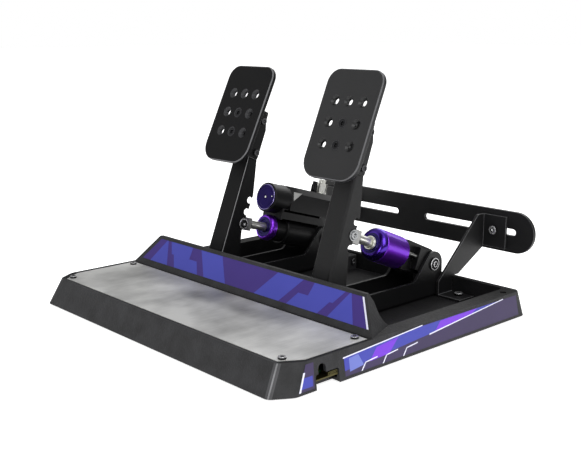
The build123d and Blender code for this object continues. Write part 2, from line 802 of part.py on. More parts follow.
for pedal, (across, lean, notch) in pedals.items():
    # Channel: folded steel U on the tray floor, its walls rising into a trunnion ear each
    with BuildPart() as channel:
        half_fold = channel_sheet / 2
        fold_out = channel_width / 2 - half_fold
        ear_top = trunnion_height + ear_radius
        with BuildSketch(wall(channel_front)):
            with BuildLine():
                FilletPolyline(
                    (across - fold_out, ear_top),
                    (across - fold_out, tray_floor + half_fold),
                    (across + fold_out, tray_floor + half_fold),
                    (across + fold_out, ear_top),
                    radius=channel_bend + half_fold,
                )
            trace(line_width=channel_sheet)
        extrude(amount=channel_front - channel_rear)
        with BuildSketch(flank(across)) as profile:
            with BuildLine():
                Line((ear_foot, channel_top), (channel_rear, channel_top))
            with Locations((trunnion_depth, trunnion_height)):
                Circle(ear_radius)
            make_hull()
            with Locations((channel_front, tray_floor)):
                Rectangle(
                    channel_rear - channel_front, channel_top - tray_floor, align=(Align.MIN, Align.MIN)
                )
            fillet(profile.vertices().sort_by_distance((ear_foot, channel_top))[0], ear_blend)
            with Locations((trunnion_depth, trunnion_height)):
                Circle(m8_radius + running_gap, mode=Mode.SUBTRACT)
            with Locations((pivot_depth, pivot_height)):
                Circle(pivot_radius + running_gap, mode=Mode.SUBTRACT)
        extrude(amount=channel_width, both=True, mode=Mode.INTERSECT)
        with BuildSketch(level(tray_floor)):
            with Locations(
                *[
                    (across + side * channel_screw_across, depth)
                    for side in (-1, 1)
                    for depth in channel_screw_depths
                ]
            ):
                Circle(m5_radius + screw_gap)
        extrude(amount=channel_sheet, mode=Mode.SUBTRACT)
    channel.part.label = f"{pedal}_channel"
    export_step(channel.part, f"parts/{pedal}_channel.step")

    # Pivot axle and trunnion bolt: heads on the right wall, nuts on the left one
    right_wall = across + channel_width / 2
    left_wall = across - channel_width / 2
    for name, depth, height in (
        ("pivot", pivot_depth, pivot_height),
        ("trunnion", trunnion_depth, trunnion_height),
    ):
        bolt = bolts(
            flank(right_wall), [(depth, height)], m8_radius, m8_head_radius, m8_head, channel_width + m8_nut
        )
        bolt.part.label = f"{pedal}_{name}_bolt"
        export_step(bolt.part, f"parts/{pedal}_{name}_bolt.step")
        nut = hex_nuts(flank(left_wall - m8_nut), [(depth, height)], m8_radius, m8_nut_flats, m8_nut)
        nut.part.label = f"{pedal}_{name}_nut"
        export_step(nut.part, f"parts/{pedal}_{name}_nut.step")

    # Arm: folded U open to the rear, with half-round notches in its rear edges for the pin
    arm_plane = leaning(across, pivot_depth, pivot_height, lean)
    with BuildPart() as arm:
        half_fold = arm_sheet / 2
        fold_out = arm_half - half_fold
        with BuildSketch(across_plane(arm_plane, -arm_lobe)):
            with BuildLine():
                FilletPolyline(
                    (-fold_out, arm_heel_rear),
                    (-fold_out, -arm_front + half_fold),
                    (fold_out, -arm_front + half_fold),
                    (fold_out, arm_heel_rear),
                    radius=arm_bend + half_fold,
                )
            trace(line_width=arm_sheet)
        extrude(amount=arm_lobe + arm_top)
        with BuildSketch(arm_plane) as profile:
            with BuildLine():
                FilletPolyline(
                    (-arm_front, arm_chin),
                    (-arm_front, arm_top),
                    (arm_tip_rear, arm_top),
                    (arm_neck_rear, arm_neck_height),
                    (arm_shoulder_rear, arm_shoulder_height),
                    (arm_rack_rear, arm_rack_height),
                    (arm_heel_rear, arm_heel_top),
                    (arm_heel_rear, arm_heel_foot),
                    (0, -arm_lobe),
                    (-arm_lobe, 0),
                    close=True,
                    radius=(0, *[arm_corner] * 2, arm_front, *[arm_corner] * 4, 0, 0),
                )
            make_face()
            Circle(arm_lobe)
            Circle(bush_radius + running_gap, mode=Mode.SUBTRACT)
            with Locations(*[(notch_rear, notch_first + notch_pitch * step) for step in range(notch_count)]):
                Circle(notch_radius, mode=Mode.SUBTRACT)
        extrude(amount=arm_width, both=True, mode=Mode.INTERSECT)
        with BuildSketch(arm_plane):
            with Locations(*head_screw_places):
                Circle(m4_radius + screw_gap)
        extrude(amount=arm_width, both=True, mode=Mode.SUBTRACT)
    arm.part.label = f"{pedal}_arm"
    export_step(arm.part, f"parts/{pedal}_arm.step")

    # Flanged bushes: collars between the arm and the channel walls
    collar = channel_inner - arm_half - bush_side_gap
    with BuildPart() as bushes:
        for side in (-1, 1):
            with BuildSketch(arm_plane.offset(side * arm_half)):
                Circle(bush_collar_radius)
            extrude(amount=side * collar)
            with BuildSketch(arm_plane.offset(side * arm_half)):
                Circle(bush_radius)
            extrude(amount=-side * arm_sheet)
            with BuildSketch(arm_plane.offset(side * (arm_half + collar))):
                Circle(pivot_radius + running_gap)
            extrude(amount=-side * (collar + arm_sheet), mode=Mode.SUBTRACT)
    bushes.part.label = f"{pedal}_pivot_bushes"
    export_step(bushes.part, f"parts/{pedal}_pivot_bushes.step")

    # Face plate: rounded steel plate with nine countersunk holes
    face_origin = moved_along(arm_plane, -face_ahead, face_height)
    tilt = math.radians(face_tilt_angle)
    face_side = Plane(
        origin=face_origin.origin,
        x_dir=arm_plane.x_dir * math.cos(tilt) - arm_plane.y_dir * math.sin(tilt),
        z_dir=(1, 0, 0),
    )
    face_front = Plane(origin=face_side.origin, x_dir=(1, 0, 0), z_dir=-face_side.x_dir)
    with BuildPart() as face_plate:
        with BuildSketch(face_front) as plate_shape:
            with Locations((0, (face_rise - face_drop) / 2)):
                Rectangle(face_width, face_rise + face_drop)
            fillet(plate_shape.vertices().group_by(Axis.Y)[-1], face_top_radius)
            fillet(plate_shape.vertices().group_by(Axis.Y)[0], face_bottom_radius)
        extrude(amount=-face_thickness)
        chamfer(face_plate.faces().sort_by(Axis(face_front.origin, face_front.z_dir))[-1].edges(), edge_break)
        with Locations(face_front):
            with GridLocations(face_hole_across, face_hole_up, 3, 3):
                CounterSinkHole(face_hole_radius, face_sink_radius, counter_sink_angle=sink_angle)
    face_plate.part.label = f"{pedal}_face_plate"
    export_step(face_plate.part, f"parts/{pedal}_face_plate.step")

    # Head bracket: folded U that holds the face plate and straddles the top of the arm
    with BuildPart() as bracket:
        half_fold = bracket_sheet / 2
        fold_out = arm_half + bracket_side_gap + half_fold
        with BuildSketch(across_plane(face_side, bracket_bottom)):
            with BuildLine():
                FilletPolyline(
                    (-fold_out, bracket_foot),
                    (-fold_out, face_thickness + half_fold),
                    (fold_out, face_thickness + half_fold),
                    (fold_out, bracket_foot),
                    radius=bracket_bend + half_fold,
                )
            trace(line_width=bracket_sheet)
        extrude(amount=bracket_top - bracket_bottom)
        with BuildSketch(face_side):
            with BuildLine():
                FilletPolyline(
                    (face_thickness, bracket_top),
                    (bracket_tip, bracket_top),
                    (bracket_waist, bracket_waist_height),
                    (bracket_foot, bracket_bottom),
                    (face_thickness, bracket_bottom),
                    close=True,
                    radius=(0, bracket_corner, bracket_corner, bracket_corner, 0),
                )
            make_face()
        extrude(amount=arm_width, both=True, mode=Mode.INTERSECT)
        with BuildSketch(arm_plane):
            with Locations(*head_screw_places):
                Circle(m4_radius + screw_gap)
        extrude(amount=arm_width, both=True, mode=Mode.SUBTRACT)
        with BuildSketch(face_front.offset(-face_thickness)):
            with Locations((0, 0), (0, -face_hole_up)):
                Circle(m6_radius + screw_gap)
        extrude(amount=-bracket_sheet, mode=Mode.SUBTRACT)
    bracket.part.label = f"{pedal}_head_bracket"
    export_step(bracket.part, f"parts/{pedal}_head_bracket.step")

    # Screws through the face plate and their nuts, and the screws in the bracket's sides
    face_screws = sunk_screws(
        face_front,
        [(0, 0), (0, -face_hole_up)],
        m6_radius,
        face_sink_radius - screw_gap,
        face_thickness + bracket_sheet + m6_nut,
    )
    face_screws.part.label = f"{pedal}_face_screws"
    export_step(face_screws.part, f"parts/{pedal}_face_screws.step")
    face_nuts = hex_nuts(
        face_front.offset(-face_thickness - bracket_sheet - m6_nut),
        [(0, 0), (0, -face_hole_up)],
        m6_radius,
        m6_nut_flats,
        m6_nut,
    )
    face_nuts.part.label = f"{pedal}_face_nuts"
    export_step(face_nuts.part, f"parts/{pedal}_face_nuts.step")
    bracket_out = arm_half + bracket_side_gap + bracket_sheet
    left_side = Plane(
        origin=arm_plane.offset(-bracket_out).origin, x_dir=-arm_plane.x_dir, z_dir=-arm_plane.z_dir
    )
    left_places = [(-x, y) for x, y in head_screw_places]
    right_screws = bolts(
        arm_plane.offset(bracket_out),
        head_screw_places,
        m4_radius,
        m4_head_radius,
        m4_head,
        short_screw_length,
    )
    left_screws = bolts(left_side, left_places, m4_radius, m4_head_radius, m4_head, short_screw_length)
    with BuildPart() as head_screws:
        add(right_screws.part)
        add(left_screws.part)
    head_screws.part.label = f"{pedal}_head_screws"
    export_step(head_screws.part, f"parts/{pedal}_head_screws.step")

    # Linkage frame: its origin is the pin, pressed forward into its notch, its x runs to the trunnion
    pin_at = arm_plane.from_local_coords((notch_rear - pin_seat_gap, notch_first + notch_pitch * notch, 0))
    trunnion_at = flank(across).from_local_coords((trunnion_depth, trunnion_height, 0))
    reach = (trunnion_at - pin_at).length
    link = Plane(origin=pin_at, x_dir=trunnion_at - pin_at, z_dir=(1, 0, 0))
    link_axis = Axis(link.origin, link.x_dir)

    # Clevis: rounded block with a cross barrel for the pin and a bore for the rod
    with BuildPart() as clevis:
        with BuildSketch(link):
            Circle(clevis_height / 2)
            Rectangle(clevis_length, clevis_height, align=(Align.MIN, Align.CENTER))
        extrude(amount=clevis_width / 2, both=True)
        chamfer(clevis.faces().sort_by(link_axis)[-1].edges(), clevis_break)
        with BuildSketch(link):
            Circle(clevis_barrel_radius)
        extrude(amount=arm_inner - clevis_side_gap, both=True)
        with BuildSketch(link):
            Circle(pin_radius + running_gap)
        extrude(amount=arm_inner, both=True, mode=Mode.SUBTRACT)
        with BuildSketch(facing_along(link, clevis_length)):
            Circle(rod_radius + running_gap)
        extrude(amount=-rod_bury, mode=Mode.SUBTRACT)
    clevis.part.label = f"{pedal}_clevis"
    export_step(clevis.part, f"parts/{pedal}_clevis.step")

    pin_out = arm_half + pin_side_gap
    with BuildPart() as pin:
        with BuildSketch(link):
            Circle(pin_radius)
        extrude(amount=pin_out, both=True)
        for side in (-1, 1):
            with BuildSketch(link.offset(side * pin_out)):
                Circle(pin_head_radius)
            extrude(amount=side * pin_head)
        pin_ends = pin.edges().group_by(Axis.X)[0] + pin.edges().group_by(Axis.X)[-1]
        chamfer(pin_ends, pin_head * head_break_share)
        with BuildSketch(link.offset(pin_out + pin_head)):
            RegularPolygon(pin_head_radius * socket_share, 6)
        extrude(amount=-pin_head * socket_depth_share, mode=Mode.SUBTRACT)
    pin.part.label = f"{pedal}_clevis_pin"
    export_step(pin.part, f"parts/{pedal}_clevis_pin.step")

    # Rod and piston, with the rubber spring that the piston presses
    on_throttle = pedal == "throttle"
    piston_front = damper_piston_front if on_throttle else brake_piston_front
    bore = damper_bore if on_throttle else cylinder_bore
    spring_end = damper_rear - damper_rear_wall if on_throttle else bore_end
    spring_radius = throttle_spring_radius if on_throttle else brake_spring_radius
    with BuildPart() as rod:
        with BuildSketch(facing_along(link, clevis_length - rod_bury)):
            Circle(rod_radius)
        extrude(amount=piston_front + rod_into_piston - clevis_length + rod_bury)
        chamfer(rod.edges(), edge_break)
    rod.part.label = f"{pedal}_rod"
    export_step(rod.part, f"parts/{pedal}_rod.step")

    with BuildPart() as piston:
        groove = piston_front + (piston_length - piston_groove) / 2
        with BuildSketch(link):
            with BuildLine():
                Polyline(
                    (piston_front, rod_radius + running_gap),
                    (piston_front, bore - screw_gap),
                    (groove, bore - screw_gap),
                    (groove, bore - piston_groove_depth),
                    (groove + piston_groove, bore - piston_groove_depth),
                    (groove + piston_groove, bore - screw_gap),
                    (piston_front + piston_length, bore - screw_gap),
                    (piston_front + piston_length, 0),
                    (piston_front + rod_into_piston, 0),
                    (piston_front + rod_into_piston, rod_radius + running_gap),
                    close=True,
                )
            make_face()
        revolve(axis=link_axis)
    piston.part.label = f"{pedal}_piston"
    export_step(piston.part, f"parts/{pedal}_piston.step")

    spring_start = piston_front + piston_length + spring_gap
    spring_waist = spring_radius * spring_waist_share
    wave = (spring_end - spring_gap - spring_start) / spring_waves
    with BuildPart() as spring:
        with BuildSketch(link):
            with BuildLine():
                Line((spring_start, 0), (spring_start, spring_waist))
                for turn in range(spring_waves):
                    foot = spring_start + wave * turn
                    ThreePointArc(
                        (foot, spring_waist), (foot + wave / 2, spring_radius), (foot + wave, spring_waist)
                    )
                Polyline((foot + wave, spring_waist), (foot + wave, 0), (spring_start, 0))
            make_face()
        revolve(axis=link_axis)
    spring.part.label = f"{pedal}_rubber_spring"
    export_step(spring.part, f"parts/{pedal}_rubber_spring.step")

    if on_throttle:
        throttle_link, throttle_axis, throttle_reach = link, link_axis, reach
    else:
        brake_link, brake_axis, brake_reach = link, link_axis, reach

# Throttle damper: nose cap that guides the rod and closes the tube's front
with BuildPart() as throttle_nose_cap:
    with BuildSketch(throttle_link):
        with BuildLine():
            Polyline(
                (damper_shoulder_end, damper_radius),
                (damper_tube_front, damper_radius),
                (damper_tube_front, damper_bore - screw_gap),
                (damper_tube_front + damper_spigot, damper_bore - screw_gap),
                (damper_tube_front + damper_spigot, rod_radius + running_gap),
                (damper_nose_front, rod_radius + running_gap),
                (damper_nose_front, damper_collar_radius),
                (damper_face, damper_collar_radius),
                (damper_face, damper_radius - damper_nose_shoulder),
            )
            TangentArc(
                (damper_shoulder_end, damper_radius),
                (damper_face, damper_radius - damper_nose_shoulder),
                tangent=(-1, 0),
            )
        make_face()
    revolve(axis=throttle_axis)
throttle_nose_cap.part.label = "throttle_nose_cap"
export_step(throttle_nose_cap.part, "parts/throttle_nose_cap.step")

with BuildPart() as throttle_tube:
    with BuildSketch(throttle_link):
        with BuildLine():
            Polyline(
                (damper_tube_front, damper_bore),
                (damper_tube_front, damper_radius),
                (damper_rear, damper_radius),
                (damper_rear, 0),
                (damper_rear - damper_rear_wall, 0),
                (damper_rear - damper_rear_wall, damper_bore),
                close=True,
            )
        make_face()
    revolve(axis=throttle_axis)
    chamfer(throttle_tube.edges().group_by(throttle_axis)[-1], edge_break)
throttle_tube.part.label = "throttle_tube"
export_step(throttle_tube.part, "parts/throttle_tube.step")

# Rear block: narrow web behind the tube that widens into the trunnion's hub
with BuildPart() as throttle_rear_block:
    with BuildSketch(throttle_link):
        with BuildLine():
            Line((damper_rear, -damper_block_height / 2), (damper_rear, damper_block_height / 2))
        with Locations((throttle_reach, 0)):
            Circle(eye_radius)
        make_hull()
    extrude(amount=damper_block_width / 2, both=True)
    with BuildSketch(throttle_link):
        with BuildLine():
            Line((hub_front, -hub_radius), (hub_front, hub_radius))
        with Locations((throttle_reach, 0)):
            Circle(hub_radius)
        make_hull()
    extrude(amount=channel_inner - hub_side_gap, both=True)
    with BuildSketch(throttle_link):
        with Locations((throttle_reach, 0)):
            Circle(m8_radius + running_gap)
    extrude(amount=channel_inner, both=True, mode=Mode.SUBTRACT)
    with BuildSketch(facing_along(throttle_link, hub_front)):
        with Locations((damper_stud_across, damper_stud_up), (-damper_stud_across, damper_stud_up)):
            Circle(damper_stud_radius + screw_gap)
    extrude(amount=damper_stud_lap, mode=Mode.SUBTRACT)
throttle_rear_block.part.label = "throttle_rear_block"
export_step(throttle_rear_block.part, "parts/throttle_rear_block.step")

with BuildPart() as throttle_studs:
    with BuildSketch(facing_along(throttle_link, damper_rear)):
        with Locations((damper_stud_across, damper_stud_up), (-damper_stud_across, damper_stud_up)):
            Circle(damper_stud_radius)
    extrude(amount=hub_front + damper_stud_lap - damper_rear)
throttle_studs.part.label = "throttle_studs"
export_step(throttle_studs.part, "parts/throttle_studs.step")

# Brake cylinder: one casting of tube, barrel, band, upper block, reservoir and rear eye
with BuildPart() as brake_cylinder:
    with BuildSketch(facing_along(brake_link, block_front)) as block_shape:
        with Locations((0, (block_bottom + block_top) / 2)):
            Rectangle(block_width, block_top - block_bottom)
        chamfer(block_shape.vertices().group_by(Axis.Y)[-1], block_bevel)
    extrude(amount=block_rear - block_front)

    # oblique facets at the block's two front top corners
    for side in (-1, 1):
        flank_side = side * block_width / 2
        foot = brake_link.from_local_coords((block_front + facet_foot_back, facet_foot, flank_side))
        back = brake_link.from_local_coords((block_front + facet_back, facet_head, flank_side))
        nose = brake_link.from_local_coords((block_front, facet_head, flank_side - side * facet_in))
        outward = (back - foot).cross(nose - foot) * side
        with BuildSketch(Plane(origin=foot, x_dir=back - foot, z_dir=outward)):
            Rectangle(2 * block_width, 2 * block_width)
        extrude(amount=block_width, mode=Mode.SUBTRACT)

    # tube, barrel, reservoir, band and the lug with the trunnion's hub
    with BuildSketch(brake_link):
        with BuildLine():
            Polyline(
                (gland_rear, 0),
                (gland_rear, cylinder_radius),
                (barrel_front, cylinder_radius),
                (barrel_front, barrel_radius - edge_break),
                (barrel_front + edge_break, barrel_radius),
                (barrel_rear, barrel_radius),
                (barrel_rear, 0),
                close=True,
            )
        make_face()
    revolve(axis=brake_axis)
    with BuildSketch(moved_along(brake_link, 0, reservoir_up)):
        with BuildLine():
            Polyline(
                (reservoir_front, 0),
                (reservoir_front, reservoir_radius - edge_break),
                (reservoir_front + edge_break, reservoir_radius),
                (block_front + edge_break, reservoir_radius),
                (block_front + edge_break, 0),
                close=True,
            )
        make_face()
    revolve(axis=Axis(moved_along(brake_link, 0, reservoir_up).origin, brake_link.x_dir))
    with BuildSketch(brake_link):
        with Locations(((band_front + band_rear) / 2, (band_bottom + band_top) / 2)):
            Rectangle(band_rear - band_front, band_top - band_bottom)
    extrude(amount=band_width / 2, both=True)
    with BuildSketch(brake_link):
        with BuildLine():
            lug_front = barrel_rear - edge_break
            Line((lug_front, -barrel_radius + edge_break), (lug_front, band_top))
        with Locations((brake_reach, 0)):
            Circle(hub_radius)
        make_hull()
    extrude(amount=band_width / 2, both=True)
    with BuildSketch(brake_link):
        with Locations((brake_reach, 0)):
            Circle(hub_radius - edge_break)
    extrude(amount=channel_inner - hub_side_gap, both=True)

    # bores of the trunnion, the piston, the reservoir and the sensor
    with BuildSketch(brake_link):
        with Locations((brake_reach, 0)):
            Circle(m8_radius + running_gap)
    extrude(amount=channel_inner, both=True, mode=Mode.SUBTRACT)
    with BuildSketch(facing_along(brake_link, gland_rear)):
        Circle(cylinder_bore)
    extrude(amount=bore_end - gland_rear, mode=Mode.SUBTRACT)
    with BuildSketch(facing_along(brake_link, reservoir_front)):
        with Locations((0, reservoir_up)):
            Circle(reservoir_bore)
    extrude(amount=cap_recess, mode=Mode.SUBTRACT)
    with BuildSketch(across_plane(moved_along(brake_link, sensor_place, 0), block_top)):
        Circle(sensor_thread_radius + screw_gap)
    extrude(amount=-sensor_thread, mode=Mode.SUBTRACT)
brake_cylinder.part.label = "brake_cylinder"
export_step(brake_cylinder.part, "parts/brake_cylinder.step")

with BuildPart() as brake_gland_ring:
    with BuildSketch(brake_link):
        with BuildLine():
            Polyline(
                (gland_front, rod_radius + running_gap),
                (gland_front, gland_radius - edge_break),
                (gland_front + edge_break, gland_radius),
                (gland_rear - edge_break, gland_radius),
                (gland_rear, gland_radius - edge_break),
                (gland_rear, cylinder_bore - screw_gap),
                (gland_rear + gland_spigot, cylinder_bore - screw_gap),
                (gland_rear + gland_spigot, rod_radius + running_gap),
                close=True,
            )
        make_face()
    revolve(axis=brake_axis)
brake_gland_ring.part.label = "brake_gland_ring"
export_step(brake_gland_ring.part, "parts/brake_gland_ring.step")

with BuildPart() as reservoir_cap:
    with BuildSketch(facing_along(brake_link, reservoir_front + cap_recess)):
        with Locations((0, reservoir_up)):
            Circle(cap_radius)
    extrude(amount=-cap_thickness)
    chamfer(reservoir_cap.edges().group_by(brake_axis)[0], edge_break)
reservoir_cap.part.label = "reservoir_cap"
export_step(reservoir_cap.part, "parts/reservoir_cap.step")

# Pressure sensor: washer, hexagon and neck above the block, thread inside it
with BuildPart() as pressure_sensor:
    sensor_seat = across_plane(moved_along(brake_link, sensor_place, 0), block_top)
    with BuildSketch(sensor_seat):
        Circle(sensor_thread_radius)
    extrude(amount=-sensor_thread)
    with BuildSketch(sensor_seat):
        Circle(sensor_washer_radius)
    extrude(amount=sensor_washer)
    with BuildSketch(sensor_seat.offset(sensor_washer)):
        RegularPolygon(sensor_across_flats / 2, 6, major_radius=False)
    extrude(amount=sensor_hex)
    with BuildSketch(sensor_seat.offset(sensor_washer + sensor_hex)):
        Circle(sensor_neck_radius)
    extrude(amount=sensor_neck)
pressure_sensor.part.label = "pressure_sensor"
export_step(pressure_sensor.part, "parts/pressure_sensor.step")

# Rear mounting plate with its two long slots
with BuildPart() as rear_plate:
    with BuildSketch(wall(rear_plate_front)):
        with Locations((0, rear_plate_centre)):
            SlotOverall(rear_plate_length, rear_plate_height)
        with Locations(
            (-rear_slot_spacing / 2, rear_plate_centre), (rear_slot_spacing / 2, rear_plate_centre)
        ):
            SlotOverall(rear_slot_length, rear_slot_width, mode=Mode.SUBTRACT)
    extrude(amount=-rear_plate_sheet)
rear_plate.part.label = "rear_plate"
export_step(rear_plate.part, "parts/rear_plate.step")

# Rear brackets: a foot flange on the tray, an upright web and a head flange on the plate
for name, side in (("left", -1), ("right", 1)):
    with BuildPart() as rear_bracket:
        web = rear_bracket_webs[side]
        with BuildSketch(flank(side * web)):
            with BuildLine():
                FilletPolyline(
                    (rear_bracket_foot_front, tray_floor),
                    (rear_bracket_foot_front, rear_bracket_toe_height),
                    (rear_bracket_head_front, rear_bracket_head_top),
                    (rear_plate_front, rear_bracket_head_top),
                    (rear_plate_front, rear_bracket_head_foot),
                    (rear_bracket_heel_depth, rear_bracket_heel_height),
                    (rear_bracket_foot_rear, rear_bracket_heel_height),
                    (rear_bracket_foot_rear, tray_floor),
                    close=True,
                    radius=(0, *[rear_bracket_bend] * 2, 0, 0, *[rear_bracket_bend] * 2, 0),
                )
            make_face()
        extrude(amount=side * rear_bracket_sheet)
        middle = side * (web + rear_bracket_width / 2)
        with BuildSketch(level(tray_floor)):
            with Locations((middle, (rear_bracket_foot_front + rear_bracket_foot_rear) / 2)):
                Rectangle(rear_bracket_width, rear_bracket_foot_rear - rear_bracket_foot_front)
            with Locations((side * (web + foot_screw_from_web), foot_screw_depth)):
                Circle(m5_radius + screw_gap, mode=Mode.SUBTRACT)
        extrude(amount=rear_bracket_sheet)
        with BuildSketch(wall(rear_plate_front)):
            with Locations((middle, (rear_bracket_head_foot + rear_bracket_head_top) / 2)):
                Rectangle(rear_bracket_width, rear_bracket_head_top - rear_bracket_head_foot)
            with Locations((middle, rear_plate_centre)):
                Circle(m6_radius + screw_gap, mode=Mode.SUBTRACT)
        extrude(amount=rear_bracket_sheet)
    rear_bracket.part.label = f"rear_bracket_{name}"
    export_step(rear_bracket.part, f"parts/rear_bracket_{name}.step")

# Screws of the channels and of the rear brackets' feet, all into the base plate
tray_screws = bolts(
    level(channel_floor),
    channel_screws_at + foot_screws_at,
    m5_radius,
    m5_head_radius,
    m5_head,
    channel_floor - plate_bottom,
)
tray_screws.part.label = "tray_screws"
export_step(tray_screws.part, "parts/tray_screws.step")

# Bolts through the slots of the rear plate, with washers and nuts behind it
slot_bolts_at = [
    (side * (web + rear_bracket_width / 2), rear_plate_centre)
    for side, web in rear_bracket_webs.items()
]
slot_bolts = bolts(
    wall(rear_plate_front - rear_bracket_sheet),
    slot_bolts_at,
    m6_radius,
    m5_head_radius,
    m5_head,
    rear_bracket_sheet + rear_plate_sheet + slot_bolt_stack,
)
slot_bolts.part.label = "slot_bolts"
export_step(slot_bolts.part, "parts/slot_bolts.step")

with BuildPart() as slot_washers:
    with BuildSketch(wall(rear_plate_front + rear_plate_sheet)):
        with Locations(*slot_bolts_at):
            Circle(slot_bolt_washer_radius)
            Circle(m6_radius + screw_gap, mode=Mode.SUBTRACT)
    extrude(amount=-slot_bolt_washer)
slot_washers.part.label = "slot_washers"
export_step(slot_washers.part, "parts/slot_washers.step")

slot_nuts = hex_nuts(
    wall(rear_plate_front + rear_plate_sheet + slot_bolt_stack),
    slot_bolts_at,
    m6_radius,
    m6_nut_flats,
    m6_nut,
)
slot_nuts.part.label = "slot_nuts"
export_step(slot_nuts.part, "parts/slot_nuts.step")
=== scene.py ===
"""Looks of a two-pedal sim racing set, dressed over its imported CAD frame.

Sizes are in millimetres and angles in degrees, except where a comment gives another unit.
"""

import json
import logging
import math
from collections.abc import Callable, Sequence
from dataclasses import dataclass, field, replace
from enum import Enum, IntEnum
from typing import Any

import bmesh
import bpy
import numpy as np
from mathutils import Matrix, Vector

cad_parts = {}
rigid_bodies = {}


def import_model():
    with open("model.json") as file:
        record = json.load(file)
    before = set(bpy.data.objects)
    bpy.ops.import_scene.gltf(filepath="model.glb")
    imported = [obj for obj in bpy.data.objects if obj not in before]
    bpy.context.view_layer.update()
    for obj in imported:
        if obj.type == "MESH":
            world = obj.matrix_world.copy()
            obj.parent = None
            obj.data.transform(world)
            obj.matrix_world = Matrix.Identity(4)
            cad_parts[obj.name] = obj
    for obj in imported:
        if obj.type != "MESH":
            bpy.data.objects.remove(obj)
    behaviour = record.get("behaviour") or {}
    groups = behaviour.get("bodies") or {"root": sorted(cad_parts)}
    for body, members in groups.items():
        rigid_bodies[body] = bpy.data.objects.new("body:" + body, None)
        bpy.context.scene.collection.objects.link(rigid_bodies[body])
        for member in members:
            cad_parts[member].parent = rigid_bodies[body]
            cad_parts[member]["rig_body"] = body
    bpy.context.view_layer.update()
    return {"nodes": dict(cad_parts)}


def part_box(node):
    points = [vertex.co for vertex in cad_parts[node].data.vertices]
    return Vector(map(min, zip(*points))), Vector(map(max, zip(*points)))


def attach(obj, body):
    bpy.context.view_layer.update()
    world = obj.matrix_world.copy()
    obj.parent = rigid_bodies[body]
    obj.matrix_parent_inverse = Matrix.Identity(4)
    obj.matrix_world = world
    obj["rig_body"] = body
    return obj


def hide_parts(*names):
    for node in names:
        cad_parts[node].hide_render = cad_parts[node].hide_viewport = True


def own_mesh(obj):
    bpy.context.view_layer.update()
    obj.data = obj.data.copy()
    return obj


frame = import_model()
MM = 0.001  # metres
WELD = 0.001 * MM  # metres; points that are nearer than this become one
FLAT_TURN = 0.5  # CAD facets that turn by less than this are one face
FOLD_TURN = 30.0  # edges that turn by more than this are rounded
ROUND, HEXAGON = 0.0, 1.0  # a turned row's share of a hexagon

Array = np.ndarray
Tree = bpy.types.NodeTree
Triple = tuple[float, float, float]
Profile = Sequence[tuple[float, ...]]
Outline = Sequence[tuple[float, float]]
Places = Sequence[tuple[float, float]]
RIGHT, REARWARD, UP = np.eye(3)
log = logging.getLogger("pedal_set")


class Slot(Enum):
    """The record's material slots."""

    MOULDED_BLACK = "moulded_black"
    BLACK_STEEL = "black_steel"
    BLACK_FACE = "black_face"
    BLACK_CASTING = "black_casting"
    BRUSHED_STAINLESS = "brushed_stainless"
    PURPLE_ANODISED = "purple_anodised"
    POLISHED_STEEL = "polished_steel"
    STEEL_SCREWS = "steel_screws"
    BLACK_SCREWS = "black_screws"
    YELLOW_ZINC = "yellow_zinc"
    BUSH_BRONZE = "bush_bronze"
    CIRCUIT_BOARD = "circuit_board"
    RUBBER = "rubber"


class Look(IntEnum):
    """Which look of its finish a face has, which is also the number of its material."""

    PLAIN = 0
    # A painted highlight on edges, folds, rims and well floors.
    HIGHLIGHT = 1
    # A second painted tone: shade in the throttle's sinks, a highlight in the brake's, a middle tone on the
    # nose's rounding.
    CUT = 2


def linear(colour: str) -> tuple[float, float, float, float]:
    """Turns an sRGB hex colour into the linear one that a shader socket takes.

    Args:
        colour: The colour as #rrggbb.

    Returns:
        Red, green, blue and a full alpha.
    """
    srgb = np.array([int(colour[place:place + 2], 16) for place in (1, 3, 5)]) / 255
    values = np.where(srgb <= 0.04045, srgb / 12.92, ((srgb + 0.055) / 1.055) ** 2.4)
    return (*values.tolist(), 1.0)


def fineness(size: float) -> float:
    """The texture scale whose features are about a size in millimetres across."""
    return 1 / (size * MM)


def add_node(tree: Tree, kind: str, inputs: dict[Any, Any], **settings: Any) -> Any:
    """Adds one node with its settings and what its sockets take.

    Args:
        tree: The node tree it goes into.
        kind: The node's type.
        inputs: Socket name or number to a value, or to the output socket it is linked to.
        settings: The node's own options.

    Returns:
        The new node.
    """
    node = tree.nodes.new(kind)
    for name, value in settings.items():
        setattr(node, name, value)
    for socket, value in inputs.items():
        if isinstance(value, bpy.types.NodeSocket):
            tree.links.new(value, node.inputs[socket])
        else:
            node.inputs[socket].default_value = value
    return node


